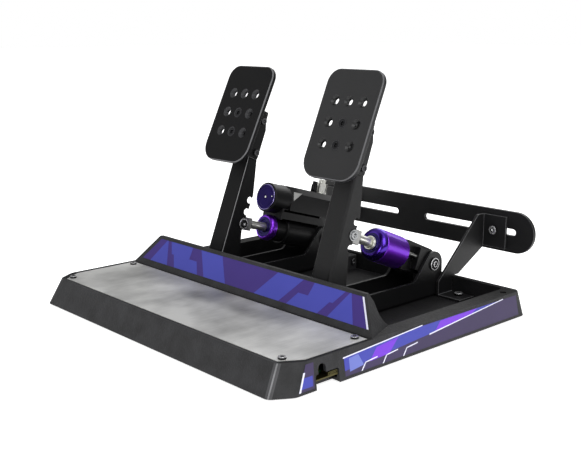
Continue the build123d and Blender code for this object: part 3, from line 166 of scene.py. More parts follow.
@dataclass(frozen=True)
class Finish:
    """What a surface is made of and how it was made.

    Its colour drifts to its shade in soft clouds, and so does its gloss. Real grit, peel and casting
    grain are finer than a pixel, so the grain is drawn as coarse as it has to be to show.
    """

    slot: Slot
    name: str
    colour: str
    shade: str
    roughness: float
    metallic: float = 0.0
    grain: float = 0.5  # width of the fine grain
    depth: float = 0.05  # its height
    specular: float = 0.5
    painted_highlight: str = ""  # colour of the painted highlight on edges, folds, rims and well floors, where it has one
    painted_tone_colour: str = ""  # colour of a second painted tone where it has one, in sinks and on the nose's rounding
    cloud: float = 40.0  # width of the clouds
    swing: float = 0.06  # how far the roughness goes to either side

    def looks(self) -> list["Finish"]:
        """Lists the finish and, where it has them, its smoother copies in the painted highlight and the second
        painted tone.

        Returns:
            The finishes in the order of Look.
        """
        looks = [self]
        # The first copy holds the painted highlight and the second the second painted tone.
        for suffix, colour, smoother in (("edge", self.painted_highlight, 0.08), ("painted_tone", self.painted_tone_colour, 0.15)):
            if colour:
                painted_look = {"colour": colour, "shade": colour, "roughness": self.roughness - smoother}
                looks.append(replace(self, name=f"{self.name}_{suffix}", **painted_look))
        return looks

    def material(self) -> bpy.types.Material:
        """Builds the finish's material once and gives the same one after that.

        Returns:
            The material.
        """
        found = bpy.data.materials.get(self.name)
        if found is not None:
            return found
        material = bpy.data.materials.new(self.name)
        material.use_nodes = True
        tree = material.node_tree
        surface = tree.nodes["Principled BSDF"]
        surface.inputs["Metallic"].default_value = self.metallic
        surface.inputs["Specular IOR Level"].default_value = self.specular
        self.dress(tree, surface, add_node(tree, "ShaderNodeTexCoord", {}).outputs["Object"])
        return material

    def dress(self, tree: Tree, surface: Any, place: Any) -> None:
        """Gives the surface cloudy colour, uneven gloss and a fine grain, all from noise.

        Args:
            tree: The material's nodes.
            surface: Its surface shader.
            place: Coordinates in metres on the part.
        """
        inputs = {"Vector": place, "Scale": fineness(self.cloud), "Detail": 3.0}
        cloud = add_node(tree, "ShaderNodeTexNoise", inputs).outputs["Fac"]
        inputs = {"Vector": place, "Scale": fineness(self.grain), "Detail": 2.0}
        grain = add_node(tree, "ShaderNodeTexNoise", inputs).outputs["Fac"]
        self.drive(tree, surface, cloud, cloud, grain)

    def drive(self, tree: Tree, surface: Any, share: Any, gloss: Any, height: Any) -> None:
        """Turns three shares between 0 and 1 into the surface's colour, roughness and relief.

        Args:
            tree: The material's nodes.
            surface: Its surface shader.
            share: From the colour to its shade.
            gloss: From the smoothest to the roughest place.
            height: From the bottom of the grain to its top.
        """
        shades = {0: share, 6: linear(self.colour), 7: linear(self.shade)}
        ends = {"To Min": self.roughness - self.swing, "To Max": self.roughness + self.swing}
        raised = {"Height": height, "Distance": self.depth * MM, "Strength": 1.0}
        mixed = add_node(tree, "ShaderNodeMix", shades, data_type="RGBA").outputs[2]
        rough = add_node(tree, "ShaderNodeMapRange", {"Value": gloss, **ends}).outputs["Result"]
        bump = add_node(tree, "ShaderNodeBump", raised).outputs["Normal"]
        for socket, value in (("Base Color", mixed), ("Roughness", rough), ("Normal", bump)):
            tree.links.new(value, surface.inputs[socket])


@dataclass(frozen=True)
class SparkTexturedNylon(Finish):
    """Glass-filled nylon moulded against a spark-eroded tool: matt, with a leathery grain.

    The real grain is about 0.1 mm wide and is drawn coarser, so that it shows.
    """

    cloud: float = 18.0
    swing: float = 0.08
    blotch: tuple[float, float] = (0.3, 0.7)  # the part of the clouds that takes in both colours

    def dress(self, tree: Tree, surface: Any, place: Any) -> None:
        """Adds the tool's cell-like grain under blotches of both colours.

        Args:
            tree: The material's nodes.
            surface: Its surface shader.
            place: Coordinates in metres on the part.
        """
        inputs = {"Vector": place, "Scale": fineness(self.grain)}
        cells = add_node(tree, "ShaderNodeTexVoronoi", inputs, feature="SMOOTH_F1").outputs["Distance"]
        inputs = {"Vector": place, "Scale": fineness(self.grain * 2), "Detail": 3.0}
        fine = add_node(tree, "ShaderNodeTexNoise", inputs).outputs["Fac"]
        both = add_node(tree, "ShaderNodeMath", {0: cells, 1: fine}, operation="ADD").outputs[0]
        inputs = {"Vector": place, "Scale": fineness(self.cloud), "Detail": 6.0}
        cloud = add_node(tree, "ShaderNodeTexNoise", inputs).outputs["Fac"]
        inputs = {"Value": cloud, "From Min": self.blotch[0], "From Max": self.blotch[1]}
        share = add_node(tree, "ShaderNodeMapRange", inputs).outputs["Result"]
        self.drive(tree, surface, share, fine, both)


@dataclass(frozen=True)
class BrushedSheet(Finish):
    """Stainless sheet brushed front to back: cloudy streaks of lighter and darker steel.

    Real strokes are under 0.1 mm wide and are drawn as wide as the grain. A dark zone is a painted reflection
    of the darker room, a soft oval: its middle in X and Y, its reach in X and Y, and how much darker it is.
    """

    cloud: float = 48.0
    swing: float = 0.05
    stroke: float = 45.0  # length of a stroke
    cloud_stretch: float = 0.7
    cloud_range: Triple = (0.25, 0.65, 0.25)  # darkest and lightest cloud, and the share at the darkest
    stroke_share: float = 0.3
    zone_edge: float = 0.6  # where a dark zone has its full strength, from its rim
    dark_reflection_zones: tuple[tuple[float, ...], ...] = (
        (0.0, -102.0, 160.0, 34.0, 0.4), (82.0, -138.0, 90.0, 62.0, 0.38),
    )

    def dress(self, tree: Tree, surface: Any, place: Any) -> None:
        """Draws fine strokes along Y over wide clouds that are stretched the same way, less the painted dark
        reflections.

        Args:
            tree: The material's nodes.
            surface: Its surface shader.
            place: Coordinates in metres on the part.
        """
        inputs = {"Vector": place, "Scale": (1.0, self.grain / self.stroke, 1.0)}
        stretched = add_node(tree, "ShaderNodeMapping", inputs).outputs["Vector"]
        inputs = {"Vector": stretched, "Scale": fineness(self.grain), "Detail": 4.0}
        strokes = add_node(tree, "ShaderNodeTexNoise", inputs).outputs["Fac"]
        inputs = {"Vector": place, "Scale": (1.0, self.cloud_stretch, 1.0)}
        smeared = add_node(tree, "ShaderNodeMapping", inputs).outputs["Vector"]
        inputs = {"Vector": smeared, "Scale": fineness(self.cloud), "Detail": 5.0}
        cloud = add_node(tree, "ShaderNodeTexNoise", inputs).outputs["Fac"]
        low, high, floor = self.cloud_range
        inputs = {"Value": cloud, "From Min": low, "From Max": high, "To Min": floor}
        level = add_node(tree, "ShaderNodeMapRange", inputs).outputs["Result"]
        for zone in self.dark_reflection_zones:
            level = self.with_dark_reflection(tree, place, level, zone)
        inputs = {0: strokes, 1: self.stroke_share, 2: level}
        share = add_node(tree, "ShaderNodeMath", inputs, operation="MULTIPLY_ADD", use_clamp=True).outputs[0]
        self.drive(tree, surface, share, share, strokes)

    def with_dark_reflection(self, tree: Tree, place: Any, level: Any, zone: tuple[float, ...]) -> Any:
        """Paints a dark reflection: takes a zone's strength off the level in its oval, fading out to its rim.

        Args:
            tree: The material's nodes.
            place: Coordinates in metres on the part.
            level: How light the sheet is.
            zone: One of the painted dark reflections.

        Returns:
            The new level.
        """
        x, y, wide, deep, strength = zone
        middle, scale = (-x / wide, -y / deep, 0.0), (fineness(wide), fineness(deep), 0.0)
        inputs = {"Vector": place, "Location": middle, "Scale": scale}
        centred = add_node(tree, "ShaderNodeMapping", inputs).outputs["Vector"]
        oval = add_node(tree, "ShaderNodeTexGradient", {"Vector": centred}, gradient_type="SPHERICAL")
        inputs = {"Value": oval.outputs["Fac"], "From Max": self.zone_edge}
        fade = add_node(tree, "ShaderNodeMapRange", inputs, interpolation_type="SMOOTHSTEP").outputs["Result"]
        inputs = {0: fade, 1: -strength, 2: level}
        return add_node(tree, "ShaderNodeMath", inputs, operation="MULTIPLY_ADD").outputs[0]


@dataclass(frozen=True)
class ClearCoated(Finish):
    """A finish under a thin clear skin, which adds a second, sharper gloss."""

    clear: float = 0.35  # strength of the skin
    clear_roughness: float = 0.08

    def dress(self, tree: Tree, surface: Any, place: Any) -> None:
        """Adds the clear skin to the cloudy colour and fine grain.

        Args:
            tree: The material's nodes.
            surface: Its surface shader.
            place: Coordinates in metres on the part.
        """
        super().dress(tree, surface, place)
        surface.inputs["Coat Weight"].default_value = self.clear
        surface.inputs["Coat Roughness"].default_value = self.clear_roughness


@dataclass(frozen=True)
class DyedAnodising(ClearCoated):
    """Turned aluminium, anodised and dyed: coloured metal gloss under the sealed oxide."""


@dataclass(frozen=True)
class PrintedVinyl(ClearCoated):
    """Printed vinyl film under a satin laminate: even colour, a soft sheen, slight orange peel."""

    clear: float = 0.05
    clear_roughness: float = 0.2


# Moulded nylon: matt black with grey blotches, and a painted highlight on its edges.
NYLON = SparkTexturedNylon(
    Slot.MOULDED_BLACK, "glass_filled_nylon", "#1c1c1d", "#2c2c2e", 0.6, grain=1.5, depth=0.22,
    specular=0.35, painted_highlight="#38383a",
)
# Painted shade for the inside of the tray: deeper black, with no highlight on its edges.
TRAY_SHADE_NYLON = replace(
    NYLON, name="glass_filled_nylon_painted_tray_shade", colour="#0d0d0e", shade="#161617", specular=0.22, painted_highlight=""
)
# Painted highlight on the rounded front corner: greyer and smoother, and palest along its crown.
CORNER_HIGHLIGHT_NYLON = replace(
    NYLON, name="glass_filled_nylon_corner", colour="#3c3c3e", shade="#4a4a4c", roughness=0.52
)
CROWN_HIGHLIGHT_NYLON = replace(
    CORNER_HIGHLIGHT_NYLON, name="glass_filled_nylon_crown", colour="#6c6c6e", shade="#828284"
)
# Powder baked on folded steel: near black with a dry fine texture, with a grey painted highlight on its folds.
POWDER_COAT = Finish(
    Slot.BLACK_STEEL, "fine_texture_powder_coat", "#0e0e0f", "#151516", 0.46, grain=0.6, depth=0.05,
    specular=0.3, painted_highlight="#6c6c6e",
)
# The same on the brake's arm, darkened as painted shade, with a brighter painted highlight on its folds.
SHADED_POWDER_COAT = replace(
    POWDER_COAT, name="fine_texture_powder_coat_painted_shade", colour="#080809", shade="#0d0d0e",
    specular=0.14, painted_highlight="#8e8e90",
)
# Aluminium, blasted and hard anodised: charcoal with a velvet sheen, painted shade in its holes and a grey
# painted highlight on its rim.
HARD_ANODISED = Finish(
    Slot.BLACK_FACE, "blasted_hard_anodising", "#1b1b1c", "#242425", 0.5, grain=0.9, depth=0.07,
    specular=0.35, painted_highlight="#58585a", painted_tone_colour="#161617",
)
# The same on the brake's face: darkened as painted shade, with a painted highlight in its holes.
SHADED_ANODISED = replace(
    HARD_ANODISED, name="blasted_hard_anodising_painted_shade", colour="#0d0d0e", shade="#131314",
    painted_highlight="#6a6a6c", painted_tone_colour="#38383a", specular=0.12,
)
# Painted aluminium casting: satin black that hides its ledges, with a dull grey painted highlight on its edges.
SATIN_CASTING = Finish(
    Slot.BLACK_CASTING, "satin_painted_casting", "#0c0c0d", "#131314", 0.42, grain=0.9, depth=0.05,
    specular=0.24, painted_highlight="#3c3c3e",
)
# Painted shadow along the casting's ledge, where the block and the band overhang: a near-black strip.
SHADOW_GAP = replace(
    SATIN_CASTING, name="painted_shadow_casting_gap", colour="#020202", shade="#040404", specular=0.0, painted_highlight=""
)
# The damper's rear block: the casting's paint on a plain block, a step darker, with a faint painted highlight
# on its edges.
BLACK_BLOCK = replace(
    SATIN_CASTING, name="black_painted_block", colour="#070708", shade="#0c0c0d", painted_highlight="#242425"
)
# Brushed stainless: broad clouds of light and dark steel with fine strokes front to back, and two painted dark
# reflections.
STAINLESS = BrushedSheet(
    Slot.BRUSHED_STAINLESS, "brushed_stainless_sheet", "#7c7c7b", "#dededc", 0.48, 0.8, grain=0.8, depth=0.02
)
# Purple dyed tube: a saturated metal that goes from bright to deep round its curve.
PURPLE = DyedAnodising(
    Slot.PURPLE_ANODISED, "purple_dyed_anodising", "#8433dd", "#6a22be", 0.42, 1.0, grain=1.2, depth=0.002
)
# The purple anodising darkened as painted shade, for ends that face away from the light: glossier than the
# tube, with a purple painted highlight on rims.
SHADED_PURPLE = DyedAnodising(
    Slot.PURPLE_ANODISED, "purple_anodising_painted_shade", "#26166c", "#1e1256", 0.26, 1.0, grain=1.2, depth=0.0015,
    painted_highlight="#7430d2",
)
# The nose and the gland: the purple's painted shade, with a purple painted highlight on the rim and a middle
# violet painted tone on the nose's rounding.
SHADED_PURPLE_WITH_HIGHLIGHT = replace(
    SHADED_PURPLE, name="two_tone_dyed_anodising", roughness=0.42, painted_highlight="#8a36e6", painted_tone_colour="#44209a"
)
# The reservoir's cap: the purple darkened to nearly black indigo as painted shade, with a pale painted
# highlight on its chamfer.
SHADED_CAP_PURPLE = replace(
    SHADED_PURPLE, name="purple_anodised_cap_painted_shade", colour="#140a40", shade="#261468", roughness=0.34, painted_highlight="#9c92cc",
    clear=0.12,
)
# Polished steel: a sharp bright gloss.
BRIGHT_STEEL = Finish(
    Slot.POLISHED_STEEL, "polished_steel", "#d6d6d4", "#bdbdbd", 0.16, 1.0, grain=1.5, depth=0.002
)
# Tumbled steel: a soft grey gloss with no sharp glints.
SATIN_STEEL = Finish(
    Slot.POLISHED_STEEL, "tumbled_steel", "#a2a2a0", "#878786", 0.36, 1.0, grain=1.0, depth=0.01
)
# Ground steel: nearly white, with broad soft highlights along it.
GROUND_STEEL = Finish(
    Slot.POLISHED_STEEL, "ground_steel_rod", "#f0f0ee", "#deded0", 0.3, 0.86, grain=1.5, depth=0.001
)
# Zinc plating: mid grey metal, a little cloudy.
PLATED_STEEL = Finish(
    Slot.STEEL_SCREWS, "zinc_plated_steel", "#a9aaab", "#909294", 0.3, 1.0, grain=0.8, depth=0.01
)
# Black oxide: dark metal that still glints, with a grey painted highlight on its edges and well floors.
BLACK_OXIDE = Finish(
    Slot.BLACK_SCREWS, "black_oxide_steel", "#18181a", "#242426", 0.32, 0.8, grain=0.6, depth=0.01,
    painted_highlight="#707072",
)
# The same with a strong painted highlight on its rims, and with a faint one.
STRONG_RIM_HIGHLIGHT_OXIDE = replace(BLACK_OXIDE, name="black_oxide_steel_with_bright_rims", painted_highlight="#c8c8ca")
FAINT_RIM_HIGHLIGHT_OXIDE = replace(BLACK_OXIDE, name="oiled_black_oxide_steel", painted_highlight="#3c3c3e")
# Yellow chromate over zinc: a dull brassy metal, darkened as painted shade where it sits inside the port.
SHADED_YELLOW_CHROMATE = Finish(
    Slot.YELLOW_ZINC, "yellow_chromate_zinc_painted_shade", "#5e5734", "#4c4932", 0.45, 1.0, grain=0.8, depth=0.01
)
# Sintered bronze: brown metal, pitted by its pores.
SINTERED_BRONZE = Finish(
    Slot.BUSH_BRONZE, "sintered_bronze", "#8a6a3a", "#6f5330", 0.45, 1.0, grain=0.4, depth=0.03
)
# Solder mask: glossy green lacquer.
SOLDER_MASK = Finish(
    Slot.CIRCUIT_BOARD, "green_solder_mask", "#12421f", "#185028", 0.3, grain=2.0, depth=0.01
)
# Nitrile rubber: dull black with hardly any sheen.
SOFT_RUBBER = Finish(
    Slot.RUBBER, "nitrile_rubber", "#171717", "#202020", 0.75, grain=0.8, depth=0.06, specular=0.3
)
# The studio's floor: matt and nearly white.
FLOOR_PAINT = Finish(
    Slot.RUBBER, "pale_floor", "#f2f2f2", "#f4f4f4", 0.9, grain=30.0, depth=0.0, specular=0.0
)


def ink(name: str, colour: str, shade: str, roughness: float = 0.45, specular: float = 0.2) -> PrintedVinyl:
    """Makes one printed colour of the films.

    Args:
        name: The ink's name.
        colour: Its colour.
        shade: What the colour drifts to.
        roughness: Of the laminate over it.
        specular: How much that laminate shines.

    Returns:
        The ink's finish.
    """
    return PrintedVinyl(
        Slot.MOULDED_BLACK, f"vinyl_{name}", colour, shade, roughness, grain=1.5, depth=0.01,
        specular=specular,
    )


class Ink(Enum):
    """The colours that the films are printed in; the bright ones are a little glossier."""

    DEEP_VIOLET = ink("deep_violet", "#3a2874", "#40307c")
    BLUE_VIOLET = ink("blue_violet", "#3f44a2", "#474baa")
    BRIGHT_PURPLE = ink("bright_purple", "#6a1cca", "#7429d2", 0.4, 0.5)
    PALE_BLUE = ink("pale_blue", "#5f6cbc", "#6a76c6", 0.4, 0.5)
    SMOKE_VIOLET = ink("smoke_violet", "#3a3150", "#42385a")
    WHITE = ink("white", "#dcdcf0", "#e6e6f4", 0.4, 0.5)


@dataclass(frozen=True)
class Axes:
    """A local frame: an origin and three unit directions of the part."""

    origin: Array
    x: Array
    y: Array
    z: Array

    def place(self, points: Array) -> Array:
        """Points of this frame, with x, y and z last, as points of the part."""
        return self.origin + points @ np.stack([self.x, self.y, self.z])

    def moved(self, x: float, y: float, z: float = 0.0) -> "Axes":
        """The same directions from another origin, given in this frame."""
        return Axes(self.place(np.array([x, y, z])), self.x, self.y, self.z)

    def tilted(self, angle: float) -> "Axes":
        """This frame with y leaning towards x by an angle."""
        c, s = math.cos(math.radians(angle)), math.sin(math.radians(angle))
        return Axes(self.origin, self.x * c - self.y * s, self.y * c + self.x * s, self.z)


def facing(origin: Array, x: Array, y: Array) -> Axes:
    """A frame at an origin with its x and y along two square directions."""
    return Axes(origin, x, y, np.cross(x, y))


def corners_mm(node: str) -> tuple[Array, Array]:
    """Lowest and highest corner of a CAD node."""
    low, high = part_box(node)
    return np.array(low) / MM, np.array(high) / MM


def middle_mm(node: str) -> Array:
    """Middle of a CAD node's box."""
    low, high = corners_mm(node)
    return (low + high) / 2


def face_rows(mesh: bpy.types.Mesh, value: str) -> Array:
    """Reads a vector of every face of a mesh.

    Args:
        mesh: The mesh.
        value: Which vector: center or normal.

    Returns:
        One row for each face.
    """
    rows = np.empty(3 * len(mesh.polygons), np.float32)
    mesh.polygons.foreach_get(value, rows)
    return rows.reshape(-1, 3)


def circle_ring(angles: Array, radius: float) -> Array:
    """Points on a circle: radius times the cosine and sine of each angle."""
    return radius * np.stack([np.cos(angles), np.sin(angles)], axis=-1)


def hexagon_ring(angles: Array, inner: float) -> Array:
    """Points on a hexagon: the inner radius over the cosine of the angle from the nearest flat.

    Args:
        angles: The points' directions from its middle, in radians.
        inner: Distance of its flats from its middle.

    Returns:
        The points.
    """
    sixth = np.pi / 3
    off = (angles + sixth / 2) % sixth - sixth / 2
    return (inner / np.cos(off))[..., None] * np.stack([np.cos(angles), np.sin(angles)], axis=-1)


def rectangle_ring(width: float, height: float, per_side: int) -> Array:
    """Points round a rectangle: one side at even steps, then its quarter turns, then scaled.

    Args:
        width: Its size in x.
        height: Its size in y.
        per_side: Points on each side.

    Returns:
        The points, anticlockwise.
    """
    steps = np.linspace(-1, 1, per_side, endpoint=False)
    x, y = np.ones_like(steps), steps
    sides = [(x, y), (-y, x), (-x, -y), (y, -x)]
    ring = np.concatenate([np.stack(side, axis=-1) for side in sides])
    return ring * np.array([width / 2, height / 2])


def rounded_ring(corners: Array, radii: Array, steps: int = 16) -> Array:
    """Outline through corners with an arc at each.

    Each arc's centre lies on the corner's bisector, at the radius over the sine of half the corner's
    angle, and its points are the centre plus the radius times the unit vectors from start to end.
    A radius of 0 leaves the corner itself. No corner may lie straight between its neighbours.

    Args:
        corners: The outline's corners in order, anticlockwise.
        radii: One radius for each corner.
        steps: Points on each arc.

    Returns:
        The outline's points, closed from the last to the first.
    """
    back = np.roll(corners, 1, axis=0) - corners
    ahead = np.roll(corners, -1, axis=0) - corners
    back /= np.linalg.norm(back, axis=1, keepdims=True)
    ahead /= np.linalg.norm(ahead, axis=1, keepdims=True)
    half = np.arccos(np.clip((back * ahead).sum(1), -1, 1)) / 2
    bisector = back + ahead
    bisector /= np.linalg.norm(bisector, axis=1, keepdims=True)
    centre = corners + bisector * (radii / np.sin(half))[:, None]
    swing = (np.pi / 2 - half)[:, None] * np.linspace(-1, 1, steps)
    side = np.sign(back[:, 0] * ahead[:, 1] - back[:, 1] * ahead[:, 0])[:, None]
    c, s = np.cos(swing), np.sin(swing) * -side
    spoke = -bisector[:, None, :]
    x = spoke[..., 0] * c - spoke[..., 1] * s
    y = spoke[..., 0] * s + spoke[..., 1] * c
    arcs = centre[:, None, :] + radii[:, None, None] * np.stack([x, y], axis=-1)
    return arcs.reshape(-1, 2)


def soft_profile(corners: Profile, steps: int = 5) -> Array:
    """Profile of a turned shape whose corners are rounded.

    Each corner that has a radius becomes the arc of rounded_ring, and the others stay as they are.

    Args:
        corners: Place along the axis, distance from it, radius of rounding, and the look of the
            strip after the corner; the last two may be left out.
        steps: Points on each arc.

    Returns:
        Rows of place, distance, a hexagon's share of 0, and the look.
    """
    table = np.array([(*corner, 0.0, Look.PLAIN)[:4] for corner in corners])
    radii, looks = table[:, 2], table[:, 3]
    arcs = rounded_ring(table[:, :2], radii, steps).reshape(len(table), steps, 2)
    counts = np.where(radii > 0, steps, 1)
    points = arcs[np.arange(steps) < counts[:, None]]
    return np.column_stack([points, np.full(len(points), ROUND), np.repeat(looks, counts)])


def turned(axes: Axes, profile: Array, count: int) -> Array:
    """Rings of a turned shape.

    Each row becomes a circle round the frame's x, at the row's place and distance, blended by
    the row's share with the hexagon of the same inner radius.

    Args:
        axes: The frame whose x is the shape's axis.
        profile: Rows of place, distance and hexagon's share.
        count: Points on each ring.

    Returns:
        Rows of points of the part.
    """
    angles = np.arange(count) * (2 * np.pi / count)
    share = profile[:, 2][:, None, None]
    ring = circle_ring(angles, 1.0) * (1 - share) + hexagon_ring(angles, 1.0) * share
    flat = ring * profile[:, 1][:, None, None]
    along = np.broadcast_to(profile[:, 0][:, None, None], (*flat.shape[:2], 1))
    return axes.place(np.concatenate([along, flat], axis=-1))


def evenly_spaced(ring: Array, count: int, tries: int = 4000) -> Array:
    """The same closed outline at even steps of its own length, from its rightmost direction.

    Args:
        ring: Points of the closed outline.
        count: Points wanted.
        tries: Places among which the first point is looked for.

    Returns:
        The new points.
    """
    closed = np.concatenate([ring, ring[:1]])
    length = np.concatenate([[0], np.cumsum(np.linalg.norm(np.diff(closed, axis=0), axis=1))])

    def at(places: Array) -> Array:
        """The outline's points at these lengths from its first corner."""
        return np.stack([np.interp(places, length, closed[:, axis]) for axis in (0, 1)], axis=-1)

    places = np.linspace(0, length[-1], tries)
    spokes = at(places) - (ring.min(0) + ring.max(0)) / 2
    rightness = spokes[:, 0] / np.linalg.norm(spokes, axis=1)
    return at((places[np.argmax(rightness)] + length[-1] * np.arange(count) / count) % length[-1])


def lifted(ring: Array, height: float) -> Array:
    """A flat ring at a height, as points in space."""
    return np.concatenate([ring, np.full((len(ring), 1), height)], axis=-1)


def grid_faces(rows: int, columns: int, start: int) -> Array:
    """Quads of a grid of points that closes on itself along its rows.

    Args:
        rows: Rings in the grid.
        columns: Points on each ring.
        start: The first point's number.

    Returns:
        Four points for each quad: here, the next, and the same two on the next ring.
    """
    row, column = np.meshgrid(np.arange(rows - 1), np.arange(columns), indexing="ij")
    here, after = row * columns + column, row * columns + (column + 1) % columns
    return np.stack([here, after, after + columns, here + columns], axis=-1).reshape(-1, 4) + start


def in_scene(name: str, data: Any) -> bpy.types.Object:
    """Puts a new object of a mesh, light or camera into the scene, at the origin.

    Args:
        name: Its name.
        data: Its mesh, light or camera.

    Returns:
        The object.
    """
    made = bpy.data.objects.new(name, data)
    bpy.context.scene.collection.objects.link(made)
    return made


@dataclass
class Piece:
    """A new piece of the set: stacks of rings that are joined into one closed mesh."""

    name: str
    body: str
    finish: Finish
    stands_for: tuple[str, ...] = ()
    stacks: list[Array] = field(default_factory=list)
    marks: list[Array] = field(default_factory=list)

    def add(self, rings: Array, looks: Array | None = None) -> None:
        """Adds a stack of closed rings, with the look of each strip between two of them."""
        self.stacks.append(rings)
        self.marks.append(np.full(len(rings) - 1, Look.PLAIN) if looks is None else looks)

    def turn(self, axes: Axes, profile: Array, count: int = 64) -> None:
        """Adds a turned shape with the looks of its profile."""
        self.add(turned(axes, profile, count), profile[:-1, 3])

    def turn_soft(self, axes: Axes, corners: Profile, count: int = 64) -> None:
        """Adds a turned shape with rounded corners, closed on itself where it is bored through.

        Args:
            axes: The frame whose x is the shape's axis.
            corners: What soft_profile takes.
            count: Points on each ring.
        """
        profile = soft_profile(corners)
        bored = profile[-1, 1] > 0
        self.turn(axes, np.concatenate([profile, profile[:1]]) if bored else profile, count)

    def make(self) -> bpy.types.Object:
        """Joins the stacks, closes them, turns their faces outward and puts the piece in place.

        Returns:
            The finished object.
        """
        starts = np.cumsum([0] + [stack.shape[0] * stack.shape[1] for stack in self.stacks])
        points = np.concatenate([stack.reshape(-1, 3) for stack in self.stacks]) * MM
        faces = [grid_faces(*stack.shape[:2], start) for stack, start in zip(self.stacks, starts)]
        mesh = bpy.data.meshes.new(self.name)
        mesh.from_pydata(points.tolist(), [], np.concatenate(faces).tolist())
        looks = [np.repeat(marks, stack.shape[1]) for marks, stack in zip(self.marks, self.stacks)]
        mesh.polygons.foreach_set("material_index", np.concatenate(looks).astype(np.int32))
        joined = bmesh.new()
        joined.from_mesh(mesh)
        bmesh.ops.remove_doubles(joined, verts=joined.verts, dist=WELD)
        bmesh.ops.dissolve_degenerate(joined, edges=joined.edges, dist=WELD)
        bmesh.ops.recalc_face_normals(joined, faces=joined.faces)
        joined.to_mesh(mesh)
        joined.free()
        return settle(mesh, self.name, self.body, self.finish, self.stands_for)


def settle(
    mesh: bpy.types.Mesh, name: str, body: str, finish: Finish, stands_for: tuple[str, ...]
) -> bpy.types.Object:
    """Makes an object of a finished mesh, shades it and hangs it on its body.

    Args:
        mesh: The mesh, already in place.
        name: The piece's name.
        body: The CAD body it rides on.
        finish: Its finish.
        stands_for: CAD nodes that it is shown for.

    Returns:
        The object.
    """
    mesh.polygons.foreach_set("use_smooth", np.ones(len(mesh.polygons), bool))
    for look in finish.looks():
        mesh.materials.append(look.material())
    piece = in_scene(name, mesh)
    normals = piece.modifiers.new("even_normals", "WEIGHTED_NORMAL")
    normals.keep_sharp = True
    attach(piece, body)
    if stands_for:
        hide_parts(*stands_for)
    log.info("%s rides on %s, %d faces", name, body, len(mesh.polygons))
    return piece


def turned_piece(
    name: str, body: str, finish: Finish, axes: Axes, corners: Profile, stands_for: tuple[str, ...] = (),
    count: int = 64,
) -> bpy.types.Object:
    """Builds a piece that is one turned shape.

    Args:
        name: The piece's name.
        body: The CAD body it rides on.
        finish: Its finish.
        axes: The frame whose x is its axis.
        corners: What soft_profile takes.
        stands_for: CAD nodes that it is shown for.
        count: Points on each ring.

    Returns:
        The piece.
    """
    piece = Piece(name, body, finish, stands_for)
    piece.turn_soft(axes, corners, count)
    return piece.make()


def refined(
    node: str, radius: float, finish: Finish, prepare: Callable[[bmesh.types.BMesh], None] | None = None
) -> bpy.types.Object:
    """Shows a CAD node as a welded copy whose sharp edges are rounded.

    Args:
        node: The CAD node.
        radius: Width of the rounding.
        finish: The copy's finish, whose painted highlight goes on the rounding.
        prepare: What is done to the welded copy first.

    Returns:
        The copy, which stands for the node.
    """
    source = frame["nodes"][node]
    copy = bmesh.new()
    copy.from_mesh(source.data)
    bmesh.ops.remove_doubles(copy, verts=copy.verts, dist=WELD)
    bmesh.ops.dissolve_limit(copy, angle_limit=math.radians(FLAT_TURN), verts=copy.verts, edges=copy.edges)
    if prepare:
        prepare(copy)
    mesh = bpy.data.meshes.new(f"{node}_finished")
    copy.to_mesh(mesh)
    copy.free()
    piece = settle(mesh, f"{node}_finished", source["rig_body"], finish, (node,))
    rounding = piece.modifiers.new("rounded_edges", "BEVEL")
    rounding.width = radius * MM
    rounding.segments = 2
    rounding.limit_method = "ANGLE"
    rounding.angle_limit = math.radians(FOLD_TURN)
    rounding.use_clamp_overlap = True
    rounding.harden_normals = True
    # The rounding takes the finish's painted highlight, where it has one.
    rounding.material = Look.HIGHLIGHT if finish.painted_highlight else -1
    piece.modifiers.move(1, 0)
    return piece


def coat(node: str, finish: Finish) -> None:
    """Gives a CAD node, shown as it is, a finish.

    Args:
        node: The CAD node.
        finish: Its finish.
    """
    shown = frame["nodes"][node]
    if not shown.material_slots:
        shown.data.materials.append(finish.material())
    for place in shown.material_slots:
        place.material = finish.material()
    log.info("%s is shown as it is, in %s", node, finish.name)


@dataclass(frozen=True)
class SocketScrew:
    """A socket screw: its shank, a softly rounded head with a painted highlight, and a hexagonal well with one
    on its floor.

    Places are heights over the seat, and radii are distances from the axis.
    """

    shank: float
    head: float
    height: float
    length: float
    well: float  # inner radius of the hexagon
    soft: float = 0.4  # rounding of the head
    well_share: float = 0.6  # the well's depth as a share of the head or shank
    point: float = 0.2  # depth of the drilled end under the well
    shank_soft: float = 0.3

    def profile(self) -> Array:
        """Rows from the shank's end to the head's rim, over it and down into the well.

        Returns:
            Rows for Piece.turn.
        """
        top, well, mouth = self.height, self.well, 1.2 * self.well
        floor = top - self.well_share * max(top, self.shank)
        body = soft_profile([
            (-self.length, 0.0), (-self.length, self.shank, self.shank_soft), (0.0, self.shank),
            (0.0, self.head), (top, self.head, self.soft, Look.HIGHLIGHT), (top, mouth),
        ])
        return np.concatenate([body[:-1], [
            (top, mouth, ROUND, Look.PLAIN), (top - 0.15, well, HEXAGON, Look.PLAIN),
            (floor, well, HEXAGON, Look.HIGHLIGHT), (floor - self.point, 0.0, HEXAGON, Look.PLAIN),
        ]])


